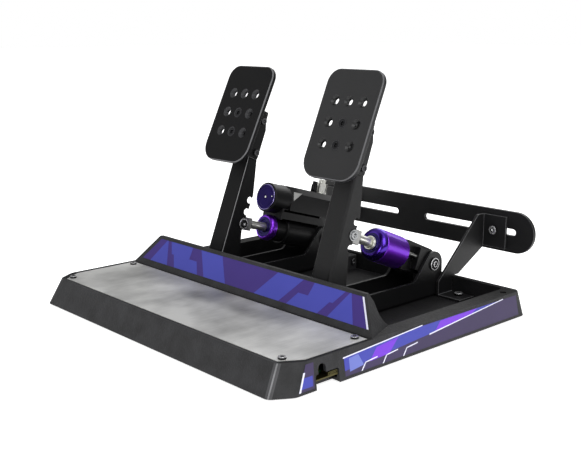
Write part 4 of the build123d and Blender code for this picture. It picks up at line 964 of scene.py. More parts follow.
@dataclass(frozen=True)
class SunkScrew(SocketScrew):
    """A countersunk screw: its head is a cone that ends just under flush, with a painted highlight on its rim
    and round its well's mouth.
    """

    rim: float = 1.1  # width of the rim that takes the painted highlight

    def profile(self) -> Array:
        """Rows from the shank's end up the cone to the rim and down into the well.

        Returns:
            Rows for Piece.turn.
        """
        flat, well, inside = -self.soft, self.well, self.head - self.rim
        floor = flat - self.well_share * (self.head - self.shank)
        body = soft_profile([
            (-self.length, 0.0), (-self.length, self.shank, self.shank_soft),
            (self.shank - self.head, self.shank), (flat - 0.3, self.head - 0.1),
            (flat, self.head - 0.3, 0.1, Look.HIGHLIGHT), (flat, inside),
        ])
        return np.concatenate([body[:-1], [
            (flat, inside, ROUND, Look.PLAIN), (flat, 1.25 * well, ROUND, Look.HIGHLIGHT),
            (flat - 0.2, well, HEXAGON, Look.PLAIN), (floor, well, HEXAGON, Look.PLAIN),
            (floor - self.point, 0.0, HEXAGON, Look.PLAIN),
        ]])


@dataclass(frozen=True)
class DishedBolt(SocketScrew):
    """A pivot bolt: a rim with a painted highlight round a dark dish that stands for painted shade, and a
    socket boss with a painted highlight in its middle.
    """

    shank_soft: float = 0.5
    boss_wall: float = 1.1

    def profile(self) -> Array:
        """Rows from the shank's end over the rim, down into the dish, up the boss and into its well.

        Returns:
            Rows for Piece.turn.
        """
        rim, dish, crown = 0.6 * self.height, 0.2 * self.height, 0.8 * self.height
        well, boss, mouth = self.well, self.well + self.boss_wall, 1.1 * self.well
        body = soft_profile([
            (-self.length, 0.0), (-self.length, self.shank, self.shank_soft), (0.0, self.shank),
            (0.0, self.head), (rim, self.head, self.soft, Look.HIGHLIGHT), (rim, self.head - 1.0, 0.2),
            (dish, self.head - 1.3), (dish, boss), (crown, boss, 0.2, Look.HIGHLIGHT), (crown, mouth),
        ])
        return np.concatenate([body[:-1], [
            (crown, mouth, ROUND, Look.PLAIN), (0.75 * self.height, well, HEXAGON, Look.PLAIN),
            (0.1 * self.height, well, HEXAGON, Look.HIGHLIGHT), (0.05 * self.height, 0.0, HEXAGON, Look.PLAIN),
        ]])


M4 = SocketScrew(2.0, 3.8, 2.2, 6.4, 1.5)
M4_HEEL = replace(M4, length=7.9)
M5 = SocketScrew(2.5, 4.75, 2.6, 10.3, 2.0)
SLOT_BOLT = SocketScrew(3.0, 4.75, 2.6, 13.2, 2.2)
M6_SUNK = SunkScrew(3.0, 5.5, 0.0, 13.0, 2.1, soft=0.12, well_share=0.9)
M8 = DishedBolt(4.0, 7.0, 3.2, 50.0, 2.3)


def screws(
    node: str, body: str, finish: Finish, screw: SocketScrew, places: list[Axes]
) -> bpy.types.Object:
    """Turns the screws that stand for a CAD node.

    Args:
        node: The CAD node.
        body: The body that they ride on.
        finish: Their finish.
        screw: Their kind.
        places: Where each head sits, with x pointing out of the seat.

    Returns:
        The screws as one object.
    """
    group = Piece(f"{node}_finished", body, finish, (node,))
    for seat in places:
        group.turn(seat, screw.profile(), 48)
    return group.make()


def plaque(name: str, body: str, finish: Finish, outline: Array, height: float = 0.18) -> bpy.types.Object:
    """Builds a thin plate with a softened rim on a flat place.

    Its rings are the outline shrunk about its middle and moved out of the place's plane.

    Args:
        name: The piece's name.
        body: The body it rides on.
        finish: Its finish.
        outline: Its corners, anticlockwise seen from outside.
        height: How far it stands out.

    Returns:
        The plate.
    """
    out = np.cross(outline[1] - outline[0], outline[2] - outline[0])
    out /= np.linalg.norm(out)
    middle, under = outline.mean(0), -0.2
    # Each ring's size, as a share of the outline, and how far out it is.
    steps = ((0.02, under), (0.95, under), (0.95, 0.6 * height), (0.92, height), (0.02, height))
    piece = Piece(name, body, finish)
    piece.add(np.stack([middle + (outline - middle) * size + out * up for size, up in steps]))
    return piece.make()


@dataclass
class Film:
    """A printed film on a flat wall: shapes of one ink each, laid a hair above one another."""

    name: str
    wall: Axes
    body: str = "base"
    skin: float = 0.06  # thickness of one film

    def lay(self, label: str, ink: Ink, outline: Outline, layer: int) -> None:
        """Lays one shape on the wall as a thin closed sheet.

        Args:
            label: What the shape is.
            ink: Its colour.
            outline: Its corners on the wall.
            layer: How many films lie under it.
        """
        corners = np.array(outline, float)
        count = len(corners)
        heights = (-self.skin, self.skin * (layer + 1))
        points = np.concatenate([self.wall.place(lifted(corners, height)) for height in heights]) * MM
        turn = np.arange(count)
        sides = np.stack([turn, (turn + 1) % count, (turn + 1) % count + count, turn + count], axis=-1)
        faces = [turn[::-1].tolist(), (turn + count).tolist(), *sides.tolist()]
        mesh = bpy.data.meshes.new(f"{self.name}_{label}")
        mesh.from_pydata(points.tolist(), [], faces)
        mesh.materials.append(ink.value.material())
        piece = in_scene(mesh.name, mesh)
        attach(piece, self.body)
        log.info("%s rides on %s, in %s", mesh.name, self.body, ink.value.name)


@dataclass
class Base:
    """The moulded base with its plates, box, port, printed films and screws.

    Places are measured from the shell's datum: across, back from its front edge, and up.
    """

    half_width: float = 200.0
    deck_height: float = 27.0
    side_inset: float = 4.3  # how far the side wall leans in over its height
    riser_foot: float = 119.9
    riser_crest: float = 139.9
    riser_height: float = 32.1
    riser_foot_half: float = 194.3
    riser_crest_half: float = 167.9
    heel_seat: float = 26.8
    heel_screws: Places = ((176.0, 26.7), (181.6, 109.6))
    tray_seat: float = 10.5
    tray_half: float = 190.0
    tray_end: float = 400.0
    channels_across: tuple[float, ...] = (-88.6, 84.5)
    channel_screw_across: float = 10.0
    channel_screw_depths: tuple[float, ...] = (195.0, 285.0)
    foot_screws: Places = ((-132.0, 333.0), (127.0, 333.0))
    box_screw: Triple = (-36.0, 334.0, 18.1)
    corner_round: float = 3.5
    corner_depth: float = 14.0  # the corner's painted highlight ends this far back
    corner_zone: tuple[float, float] = (170.0, 60.0)  # corners are further out and further forward than this
    corner_edge: float = 20.0  # shortest edge that is a corner's
    corner_upright: float = 0.8  # least rise of such an edge, as a share of its length
    film_span: tuple[float, float] = (0.17, 0.91)  # the riser's film, as shares of its slope
    film_ends: tuple[float, float] = (8.0, 4.0)  # bare ends of the riser, left and right
    film_strip: float = 2.2
    # Shapes on each half of the riser: across, and 0, 1 or 2 for the film's foot, middle or top.
    riser_shapes: tuple[tuple[tuple[int, int], ...], ...] = (
        ((24, 0), (62, 0), (84, 2), (46, 2)),
        ((74, 0), (118, 0), (128, 1), (84, 1)),
        ((100, 2), (142, 2), (132, 1), (98, 1)),
        ((132, 0), (166, 0), (150, 2), (148, 2)),
    )
    # Shapes on the right wall: name, ink, films under it, and its corners back from the front and up.
    wall_shapes: tuple[tuple[str, Ink, int, Outline], ...] = (
        ("ground", Ink.SMOKE_VIOLET, 0, ((80, 3), (342, 3), (340, 24), (187, 25), (80, 20))),
        ("wedge", Ink.BLUE_VIOLET, 1, ((80, 8), (200, 15), (318, 24), (187, 24.6), (80, 19.6))),
        ("patch_front", Ink.PALE_BLUE, 2, ((86, 6), (104, 8), (98, 19), (86, 18))),
        ("patch_middle", Ink.BRIGHT_PURPLE, 2, ((112, 9), (138, 10), (152, 22), (122, 19.5))),
        ("patch_rear", Ink.BRIGHT_PURPLE, 2, ((205, 16), (262, 20), (272, 24.2), (214, 24))),
        ("line", Ink.WHITE, 3, ((79, 19.2), (187, 24.8), (187, 25.7), (79, 20.3))),
        ("spine", Ink.WHITE, 3, ((196, 14), (317, 24), (317, 24.8), (196, 15.2))),
    )
    bar_starts: tuple[float, ...] = (100.0, 128.0, 156.0)
    bar_shapes: tuple[tuple[str, Outline], ...] = (
        ("bar", ((0, 3), (1.4, 3), (7.4, 10), (6, 10))),
        ("step", ((6, 9), (22, 10.4), (22, 11.4), (6, 10))),
    )
    front_shapes: tuple[tuple[str, Ink, int, Outline], ...] = (
        ("corner", Ink.SMOKE_VIOLET, 0, ((25, 2.6), (42.5, 2.6), (44, 25), (35, 25))),
        ("corner_patch", Ink.BLUE_VIOLET, 1, ((27, 5), (41, 5), (41.6, 14), (31, 14))),
        ("corner_bar", Ink.WHITE, 2, ((24.5, 2.6), (26.5, 2.6), (33.5, 18.5), (31.5, 18.5))),
    )

    def datum(self) -> Array:
        """The shell's lower front edge in the middle of its width."""
        low, _ = corners_mm("base_shell")
        return np.array([0.0, low[1], low[2]])

    def build(self) -> None:
        """Dresses the base's own pieces."""
        self.paint_corner_highlight_and_tray_shade(refined("base_shell", 1.3, NYLON, self.round_corners))
        refined("heel_plate", 0.25, STAINLESS)
        refined("rear_box", 0.5, NYLON)
        coat("base_plate", POWDER_COAT)
        coat("base_plate_screws", BLACK_OXIDE)
        coat("rubber_feet", SOFT_RUBBER)
        # The port's bracket and socket take the chromate darkened as painted shade.
        refined("port_bracket", 0.3, SHADED_YELLOW_CHROMATE)
        coat("usb_socket", SHADED_YELLOW_CHROMATE)
        coat("controller_board", SOLDER_MASK)
        self.fasteners()
        self.riser_film()
        self.side_film()

    def round_corners(self, shell: bmesh.types.BMesh) -> None:
        """Rounds the upright edges of the shell's front corners more than its other edges.

        Args:
            shell: The welded copy of the shell.
        """
        outer, front = self.corner_zone[0] * MM, (self.datum()[1] + self.corner_zone[1]) * MM
        upright = [
            edge for edge in shell.edges
            if edge.calc_length() > self.corner_edge * MM
            and abs((edge.verts[0].co - edge.verts[1].co).normalized().z) > self.corner_upright
            and max(vert.co.y for vert in edge.verts) < front
            and min(abs(vert.co.x) for vert in edge.verts) > outer
            and edge.calc_face_angle(0.0) > math.radians(FOLD_TURN) and edge.is_convex
        ]
        # The rounded corners are marked for the painted highlight.
        bmesh.ops.bevel(
            shell, geom=upright, offset=self.corner_round * MM, offset_type="OFFSET", segments=5,
            profile=0.5, affect="EDGES", clamp_overlap=True, material=Look.HIGHLIGHT,
        )
        log.info("base_shell: %d upright corner edges rounded", len(upright))

    def paint_corner_highlight_and_tray_shade(self, shell: bpy.types.Object) -> None:
        """Paints a highlight on the shell's first corners and paints shade inside its tray.

        The corner's crown is the middle quarter of the turn between the front and the side.

        Args:
            shell: The shell, whose rounded corners have the painted highlight look.
        """
        faces, materials = shell.data.polygons, shell.data.materials
        marks = np.empty(len(faces), np.int32)
        faces.foreach_get("material_index", marks)
        x, y, z = (face_rows(shell.data, "center") / MM - self.datum()).T
        normals = face_rows(shell.data, "normal")
        # Painted shade inside the tray, and a painted highlight on the corners that is brightest on their
        # crown.
        tray = (np.abs(x) < self.tray_half) & (y > self.riser_crest) & (y < self.tray_end)
        tray &= z < self.deck_height
        corner = (marks == Look.HIGHLIGHT) & (y < self.corner_depth)
        turn = np.arctan2(np.abs(normals[:, 0]), -normals[:, 1])
        low, high = turn[corner].min(), turn[corner].max()
        crown = corner & (np.abs(turn - (low + high) / 2) < (high - low) / 8)
        first = len(materials)
        looks = np.select([crown, corner, tray], [first, first + 1, first + 2], Look.PLAIN)
        faces.foreach_set("material_index", looks.astype(np.int32))
        for look in (CROWN_HIGHLIGHT_NYLON, CORNER_HIGHLIGHT_NYLON, TRAY_SHADE_NYLON):
            materials.append(look.material())

    def fasteners(self) -> None:
        """Turns the screws of the heel plate, the tray and the rear box."""
        datum = self.datum()
        heel = [
            facing(datum + (side * across, depth, self.heel_seat), UP, RIGHT)
            for across, depth in self.heel_screws for side in (-1, 1)
        ]
        screws("heel_plate_screws", "base", STRONG_RIM_HIGHLIGHT_OXIDE, M4_HEEL, heel)
        channels = [
            (middle + side * self.channel_screw_across, depth)
            for middle in self.channels_across for side in (-1, 1) for depth in self.channel_screw_depths
        ]
        tray = [
            facing(datum + (across, depth, self.tray_seat), UP, RIGHT)
            for across, depth in (*self.foot_screws, *channels)
        ]
        screws("tray_screws", "base", STRONG_RIM_HIGHLIGHT_OXIDE, M5, tray)
        screws("rear_box_screw", "base", BLACK_OXIDE, M4, [facing(datum + self.box_screw, RIGHT, REARWARD)])

    def riser_film(self) -> None:
        """Lays the riser's film: broad slanted shapes that point outward from the middle."""
        run = self.riser_crest - self.riser_foot
        length = math.hypot(run, self.riser_height)
        up = np.array([0.0, run, self.riser_height]) / length
        wall = facing(self.datum() + np.array([0.0, self.riser_foot, self.deck_height]), RIGHT, up)
        low, high = (share * length for share in self.film_span)
        heights = (low, (low + high) / 2, high)
        lean = (self.riser_foot_half - self.riser_crest_half) / length
        left, right = self.film_ends
        film = Film("riser_film", wall)

        def end(height: float, margin: float) -> float:
            """How far from the middle the riser's end is at a height, less a margin."""
            return self.riser_foot_half - lean * height - margin

        film.lay("ground", Ink.DEEP_VIOLET, (
            (-end(low, left), low), (end(low, right), low), (end(high, right), high), (-end(high, left), high),
        ), 0)
        for side, half in ((-1, "left"), (1, "right")):
            for number, shape in enumerate(self.riser_shapes):
                corners = [(side * across, heights[level]) for across, level in shape][::side]
                film.lay(f"shape{number}_{half}", Ink.BLUE_VIOLET, corners, 1)
        inner = right + self.film_strip
        film.lay("strip", Ink.WHITE, (
            (end(low, inner), low), (end(low, right), low), (end(high, right), high), (end(high, inner), high),
        ), 2)

    def side_film(self) -> None:
        """Lays the right wall's film: a purple wedge under a white line, with slanted bars."""
        slant = math.hypot(self.deck_height, self.side_inset)
        up = np.array([-self.side_inset, 0.0, self.deck_height]) / slant
        film = Film("side_film", facing(self.datum() + np.array([self.half_width, 0.0, 0.0]), REARWARD, up))
        for label, colour, layer, outline in self.wall_shapes:
            film.lay(label, colour, outline, layer)
        for number, start in enumerate(self.bar_starts):
            for label, outline in self.bar_shapes:
                film.lay(f"{label}{number}", Ink.WHITE, [(start + x, y) for x, y in outline], 3)
        for label, colour, layer, outline in self.front_shapes:
            film.lay(label, colour, outline, layer)


@dataclass
class FacePlate:
    """A pedal's face: a thick rounded plate with nine countersunk holes."""

    pedal: str
    axes: Axes
    finish: Finish
    width: float = 77.0
    rise: float = 57.0  # its top over the middle hole
    drop: float = 58.5  # its foot under the middle hole
    thickness: float = 5.5
    top_radius: float = 15.0
    bottom_radius: float = 20.0
    pitch: tuple[float, float] = (19.2, 23.0)
    hole: float = 3.3
    sink: float = 5.6
    soft: float = 0.3  # rounding of the holes
    edge: float = 1.1  # rounding of the outline
    edge_steps: int = 5
    per_side: int = 12

    def build(self) -> bpy.types.Object:
        """Builds the plate from rings round its holes and round its outline.

        Returns:
            The plate, which stands for the CAD face plate.
        """
        plate = Piece(
            f"{self.pedal}_face_plate_finished", f"{self.pedal}_pedal", self.finish,
            (f"{self.pedal}_face_plate",),
        )
        across, up = self.pitch
        for column in (-1, 0, 1):
            for row in (-1, 0, 1):
                rings = self.cell(np.array([column * across, row * up, 0.0]))
                looks = np.full(len(rings) - 1, Look.PLAIN)
                looks[1:6] = Look.CUT  # from the sink's rim to the end of the bore, in the second painted tone: shade on the throttle, highlight on the brake
                plate.add(self.axes.place(rings), looks)
        rings = self.rim()
        looks = np.full(len(rings) - 1, Look.PLAIN)
        looks[1:self.edge_steps] = Look.HIGHLIGHT  # the front edge's rounding, in the painted highlight
        plate.add(self.axes.place(rings), looks)
        return plate.make()

    def cell(self, middle: Array) -> Array:
        """Rings of one hole with its share of both faces.

        The front face runs from the cell's rectangle in to the sink's softened rim, the sink is a
        cone at half a right angle, the bore goes straight back, and the rear face runs out again.

        Args:
            middle: The hole's middle on the front face.

        Returns:
            The rings in the plate's frame.
        """
        square = rectangle_ring(*self.pitch, self.per_side)
        angles = np.arctan2(square[:, 1], square[:, 0])
        soft, depth, back = self.soft, self.sink - self.hole, -self.thickness
        profile = [
            (self.sink + soft, 0.0), (self.sink + 0.4 * soft, -0.1 * soft), (self.sink, -0.5 * soft),
            (self.hole + 0.2, -depth), (self.hole, -depth - 0.3), (self.hole, soft + back),
            (self.hole + 0.3 * soft, 0.3 * soft + back), (self.hole + soft, back),
        ]
        inner = [lifted(circle_ring(angles, radius), height) for radius, height in profile]
        return np.stack([lifted(square, 0.0), *inner, lifted(square, back)]) + middle

    def rim(self) -> Array:
        """Rings from the block of cells out to the rounded outline and round its edge.

        The outline shrinks by the edge's radius less its sine, and sinks by the radius less its
        cosine, over a quarter turn.

        Returns:
            The rings in the plate's frame.
        """
        across, up = self.pitch
        per_side = 3 * self.per_side
        block = np.roll(rectangle_ring(3 * across, 3 * up, per_side), -per_side // 2, axis=0)
        corners = np.array([
            (-self.width / 2, -self.drop), (self.width / 2, -self.drop),
            (self.width / 2, self.rise), (-self.width / 2, self.rise),
        ])
        radii = np.array([self.bottom_radius, self.bottom_radius, self.top_radius, self.top_radius])
        quarter = np.linspace(0, np.pi / 2, self.edge_steps)
        insets, drops = self.edge * (1 - np.sin(quarter)), self.edge * (1 - np.cos(quarter))
        shift = np.sign(-corners)
        outlines = [
            evenly_spaced(rounded_ring(corners + shift * inset, radii - inset, 24), 4 * per_side)
            for inset in insets
        ]
        front = [lifted(ring, -drop) for ring, drop in zip(outlines, drops)]
        rear = [lifted(ring, drop - self.thickness) for ring, drop in zip(outlines[::-1], drops[::-1])]
        return np.stack([lifted(block, 0.0), *front, *rear, lifted(block, -self.thickness)])


@dataclass
class Pedal:
    """One pedal: its channel, arm, head, linkage rod and the fasteners on them."""

    name: str
    lean: float  # how far the arm leans back at rest
    face_ahead: float = 35.3
    face_height: float = 185.0
    face_tilt: float = 4.6
    pin_place: tuple[float, float] = (5.5, 65.5)  # the clevis pin, in the arm's frame
    rod_end: float = 64.0
    wall: float = 21.75  # the channel's outside from its middle
    side_seat: float = 16.1
    side_screws: Places = ((-9.0, 184.0), (-7.0, 147.0))
    face_screw_drop: float = 23.0
    plate: Finish = HARD_ANODISED
    paint: Finish = POWDER_COAT
    pin: Finish = STRONG_RIM_HIGHLIGHT_OXIDE
    stroke: float = 9.1  # how far the rod slides
    fold_highlight_share: float = 1.0  # a fold face this much forward and sideways takes the painted highlight; at 1 none does
    discs: int = 4
    groove: float = 0.12  # the rubber stack's grooves, as a share of its radius
    # Profiles along the clevis pin from its middle; the last, of the lock ring, along the rod from the pin.
    hub: Profile = (
        (-10.7, 3.6), (-10.7, 6.5, 0.5), (-8.0, 6.6, 0.3), (-8.0, 7.5, 0.7),
        (8.0, 7.5, 0.7), (8.0, 6.6, 0.3), (10.7, 6.5, 0.5), (10.7, 3.6),
    )
    # The flange's rims and the well's floor take the pin finish's painted highlight.
    pin_half: Profile = (
        (0.0, 3.5), (13.75, 3.5), (13.75, 6.1, 0.3, Look.HIGHLIGHT), (14.6, 6.1, 0.3, Look.HIGHLIGHT),
        (14.6, 4.6, 0.1), (16.1, 4.4, 0.6), (16.1, 2.6),
    )
    pin_well: Profile = (
        (16.1, 2.6, ROUND, Look.PLAIN), (16.0, 2.1, HEXAGON, Look.PLAIN), (14.8, 2.1, HEXAGON, Look.HIGHLIGHT),
        (14.7, 0.0, HEXAGON, Look.PLAIN),
    )
    lock_ring: Profile = ((18.1, 4.9), (18.1, 6.1, 0.4), (20.3, 6.1, 0.6), (20.3, 4.9))
    rod_start: float = 10.0
    rod_radius: float = 5.0
    block_half: tuple[float, float] = (7.5, 8.0)
    block_ends: tuple[float, float] = (2.0, 18.0)
    block_edge: float = 1.2

    def arm_axes(self) -> Axes:
        """The arm's frame: x rearward from the pivot and y up along the arm.

        Returns:
            The frame at rest.
        """
        pivot = middle_mm(f"{self.name}_pivot_bolt")
        pivot[0] = middle_mm(f"{self.name}_arm")[0]
        return facing(pivot, REARWARD, UP).tilted(self.lean)

    def link_axes(self) -> Axes:
        """The linkage's frame: x from the clevis pin to the trunnion, y up.

        Returns:
            The frame at rest.
        """
        pin = self.arm_axes().moved(*self.pin_place).origin
        trunnion = middle_mm(f"{self.name}_trunnion_bolt")
        trunnion[0] = pin[0]
        along = (trunnion - pin) / np.linalg.norm(trunnion - pin)
        return facing(pin, along, np.cross(RIGHT, along))

    def build(self) -> None:
        """Dresses the pedal's pieces."""
        name = self.name
        refined(f"{name}_channel", 0.6, POWDER_COAT)
        self.paint_fold_highlight(refined(f"{name}_arm", 0.6, self.paint))
        refined(f"{name}_head_bracket", 0.5, self.paint)
        coat(f"{name}_piston", SATIN_CASTING)
        self.spring()
        coat(f"{name}_pivot_bushes", SINTERED_BRONZE)
        for nuts in ("pivot_nut", "trunnion_nut", "face_nuts"):
            refined(f"{name}_{nuts}", 0.4, PLATED_STEEL)
        face = self.arm_axes().moved(-self.face_ahead, self.face_height).tilted(self.face_tilt)
        front = Axes(face.origin, RIGHT, face.y, -face.x)
        FacePlate(name, front, self.plate).build()
        self.fasteners(front)
        self.linkage()

    def paint_fold_highlight(self, arm: bpy.types.Object) -> None:
        """Paints a highlight on the middle of the arm's front folds: faces that look half forward, half
        sideways.

        Args:
            arm: The finished arm.
        """
        normals = face_rows(arm.data, "normal")
        forward, sideways = -normals @ self.arm_axes().x, np.abs(normals[:, 0])
        between = (forward > self.fold_highlight_share) & (sideways > self.fold_highlight_share)
        looks = np.where(between, Look.HIGHLIGHT, Look.PLAIN)
        arm.data.polygons.foreach_set("material_index", looks.astype(np.int32))
        log.info("%s: %d fold faces worn", arm.name, between.sum())

    def spring(self) -> None:
        """Turns the rubber stack that the piston squeezes: discs with a groove between each two.

        Its length and radii are those of the CAD node's points in the linkage's frame.
        """
        link, node = self.link_axes(), f"{self.name}_rubber_spring"
        vertices = frame["nodes"][node].data.vertices
        points = np.empty(3 * len(vertices), np.float32)
        vertices.foreach_get("co", points)
        offsets = points.reshape(-1, 3) / MM - link.origin
        along, radii = offsets @ link.x, np.hypot(offsets @ link.y, offsets @ link.z)
        near, far, outer = along.min(), along.max(), radii.max()
        depth = self.groove * outer
        middles = near + (far - near) / self.discs * np.arange(1, self.discs)
        grooves = [
            (middle + step, outer - drop, 0.2)
            for middle in middles for step, drop in ((-depth, 0.0), (0.0, depth), (depth, 0.0))
        ]
        corners = [(near, 0.0), (near, outer, 0.5), *grooves, (far, outer, 0.5), (far, 0.0)]
        made = turned_piece(f"{node}_finished", f"{self.name}_unit", SOFT_RUBBER, link, corners, (node,))
        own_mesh(made)
        log.info("%s: %.1f to %.1f mm, radius %.1f mm", node, near, far, outer)

    def fasteners(self, front: Axes) -> None:
        """Turns the pedal's bolts and screws.

        Args:
            front: The face plate's frame, with x to the right and z out of its front.
        """
        name, arm = self.name, self.arm_axes()
        faces = [
            facing(front.moved(0.0, -drop).origin, front.z, front.x) for drop in (0.0, self.face_screw_drop)
        ]
        screws(f"{name}_face_screws", f"{name}_pedal", FAINT_RIM_HIGHLIGHT_OXIDE, M6_SUNK, faces)
        sides = [
            facing(arm.moved(x, y, side * self.side_seat).origin, side * RIGHT, arm.y)
            for x, y in self.side_screws for side in (-1, 1)
        ]
        screws(f"{name}_head_screws", f"{name}_pedal", FAINT_RIM_HIGHLIGHT_OXIDE, M4, sides)
        for place in ("pivot", "trunnion"):
            at = middle_mm(f"{name}_{place}_bolt")
            at[0] = arm.origin[0] + self.wall
            screws(f"{name}_{place}_bolt", "base", STRONG_RIM_HIGHLIGHT_OXIDE, M8, [facing(at, RIGHT, REARWARD)])

    def linkage(self) -> None:
        """Builds the clevis, its pin, the rod and its lock ring, in the linkage's frame."""
        name, link, body = self.name, self.link_axes(), f"{self.name}_rod"
        cross = facing(link.origin, link.z, link.x)
        clevis = Piece(f"{name}_clevis_finished", body, SATIN_STEEL, (f"{name}_clevis",))
        clevis.turn_soft(cross, self.hub)
        clevis.add(self.clevis_block(link))
        clevis.make()
        pin = Piece(f"{name}_clevis_pin_finished", body, self.pin, (f"{name}_clevis_pin",))
        half = soft_profile(self.pin_half)
        head = -self.pin_half[-1][0]
        left = np.concatenate([[(head, 0.0, ROUND, Look.PLAIN)], (half[1:-1] * (-1, 1, 1, 1))[::-1]])
        pin.turn(cross, np.concatenate([left, half[1:-1], self.pin_well]))
        pin.make()
        start, end, radius = self.rod_start, self.rod_end, self.rod_radius
        turned_piece(f"{name}_rod_finished", body, GROUND_STEEL, link, [
            (start, 0.0), (start, radius, 0.5), (end, radius, 0.6), (end, 0.0),
        ], (f"{name}_rod",))
        turned_piece(f"{name}_rod_lock_ring", body, BLACK_OXIDE, link, self.lock_ring)

    def clevis_block(self, link: Axes) -> Array:
        """Rings along the clevis: rounded rectangles that draw in by an arc at the rear end.

        Args:
            link: The linkage's frame.

        Returns:
            The rings as points of the part.
        """
        corners = np.array([(-1, -1), (1, -1), (1, 1), (-1, 1)])
        half, edge, (start, end) = np.array(self.block_half), self.block_edge, self.block_ends
        turn = np.linspace(0, np.pi / 2, 5)
        closing = 7.0  # the first and last ring are drawn in by this, inside the hub and the rod
        soft, steps = np.full(len(corners), 0.4), 6
        places = np.concatenate([[start, start], end - edge + edge * np.sin(turn), [end]])
        insets = np.concatenate([[closing, 0.0], edge * (1 - np.cos(turn)), [closing]])
        rings = [
            lifted(rounded_ring(corners * (half - inset), soft, steps), place)[:, [2, 0, 1]]
            for place, inset in zip(places, insets)
        ]
        return link.place(np.stack(rings))


@dataclass
class Units:
    """The throttle damper and the brake cylinder behind the pedals, in their linkages' frames.

    Profiles give places along the axis from the clevis pin.
    """

    throttle: Axes
    brake: Axes
    # The nose's face is in the purple's painted shade, its rounding in a middle painted tone and its rim in the
    # painted highlight.
    nose: Profile = (
        (54.4, 5.1), (43.3, 5.1), (43.3, 9.7, 0.5), (44.3, 10.0, 0.2), (44.3, 18.0, 6.6, Look.CUT),
        (51.4, 18.0, 0.2, Look.HIGHLIGHT), (51.6, 15.3), (54.4, 15.3),
    )
    collar: Profile = (
        (41.0, 5.15), (41.0, 7.4, 0.5), (42.2, 7.4, 0.2), (42.5, 6.9, 0.1), (42.8, 7.5, 0.2),
        (44.2, 7.5), (44.4, 5.15),
    )
    tube: Profile = (
        (87.0, 0.0), (87.0, 15.5), (51.6, 15.4), (51.8, 17.4, 0.2), (52.6, 18.0, 0.4),
        (90.0, 18.0, 1.9), (90.0, 0.0),
    )
    # The gland's face is in the purple's painted shade and its rounded rims in the painted highlight.
    gland: Profile = (
        (44.0, 5.1), (44.0, 6.6, 0.3), (45.0, 6.9, 0.2), (45.0, 8.6, 0.2), (44.0, 9.0, 0.4),
        (44.0, 15.5, 3.4, Look.HIGHLIGHT), (53.0, 15.5, 1.2, Look.HIGHLIGHT), (53.2, 8.8), (56.0, 8.8), (55.9, 5.1),
    )
    # The cap's chamfer takes a pale painted highlight.
    cap: Profile = (
        (41.0, 0.0), (41.0, 15.4), (37.0, 15.5, 0.7, Look.HIGHLIGHT), (37.0, 14.6, 0.2), (37.7, 14.2, 0.2),
        (37.7, 11.6, 0.2), (37.4, 11.3, 0.2), (37.4, 3.2, 0.1), (37.9, 3.0, 0.1), (37.9, 0.0),
    )
    bleed_cap: Profile = (
        (-1.0, 0.0), (-1.0, 3.9), (9.0, 3.9, 0.4), (9.2, 3.2, 0.2), (13.5, 3.2, 0.8), (13.5, 0.0),
    )
    reservoir_up: float = 35.5
    vents: tuple[Triple, ...] = ((0.0, 0.0, 1.5), (2.0, 11.0, 1.0))  # up, across and radius
    vent_ends: tuple[float, float] = (38.0, 37.05)
    bleed_at: Triple = (114.0, 53.5, 0.0)
    # Near-black strips of painted shadow under the block and the band: their heights, their ends along the
    # axis, their side and their lean.
    gaps_up: tuple[tuple[float, float], ...] = ((22.4, 25.4), (12.2, 14.0))
    gaps_along: tuple[float, float] = (54.0, 118.0)
    gap_side: float = 16.5
    gap_lean: float = 1.0
    # Corners of the bright metal triangle that is a painted reflection on the casting's corner facet.
    facet_corners: tuple[Triple, ...] = ((67.0, 37.0, 18.0), (79.0, 48.0, 18.0), (69.0, 48.0, 12.7))

    def build(self) -> None:
        """Dresses both units."""
        self.damper()
        self.cylinder()

    def damper(self) -> None:
        """Turns the nose with its face ring, the collar round the rod and the tube with rounded ends."""
        body, axes = "throttle_unit", self.throttle
        turned_piece("throttle_nose_finished", body, SHADED_PURPLE_WITH_HIGHLIGHT, axes, self.nose, ("throttle_nose_cap",), 96)
        turned_piece("throttle_rod_collar", body, GROUND_STEEL, axes, self.collar)
        turned_piece("throttle_tube_finished", body, PURPLE, axes, self.tube, ("throttle_tube",), 96)
        refined("throttle_rear_block", 0.8, BLACK_BLOCK)
        coat("throttle_studs", SATIN_STEEL)

    def cylinder(self) -> None:
        """Dresses the casting and turns the gland ring, the reservoir's cap and its vents."""
        body, axes = "brake_unit", self.brake
        refined("brake_cylinder", 0.8, SATIN_CASTING)
        refined("pressure_sensor", 0.4, GROUND_STEEL)
        turned_piece("brake_gland_finished", body, SHADED_PURPLE_WITH_HIGHLIGHT, axes, self.gland, ("brake_gland_ring",), 96)
        top = axes.moved(0.0, self.reservoir_up)
        turned_piece("reservoir_cap_finished", body, SHADED_CAP_PURPLE, top, self.cap, ("reservoir_cap",), 96)
        vents = Piece("reservoir_vents", body, BRIGHT_STEEL)
        root, face = self.vent_ends
        for up, across, radius in self.vents:
            corners = [(root, 0.0), (root, radius), (face, radius, 0.25), (face, 0.0)]
            vents.turn_soft(top.moved(0.0, up, across), corners, 24)
        vents.make()
        upright = facing(axes.moved(*self.bleed_at).origin, axes.y, axes.z)
        turned_piece("brake_bleed_cap", body, BLACK_OXIDE, upright, self.bleed_cap, count=32)
        self.trims()

    def trims(self) -> None:
        """Lays a bright metal triangle on the casting's corner facet as a painted reflection, and near-black
        strips along its ledge as painted shadow.
        """
        plaque("brake_corner_painted_reflection", "brake_unit", SATIN_STEEL, self.brake.place(np.array(self.facet_corners)))
        (front, rear), side, lean = self.gaps_along, self.gap_side, self.gap_lean
        for number, (low, high) in enumerate(self.gaps_up):
            outline = np.array([
                (front, low, side), (rear, low, side), (rear + lean, high, side), (front + lean, high, side),
            ])
            plaque(f"brake_ledge_gap{number}", "brake_unit", SHADOW_GAP, self.brake.place(outline))


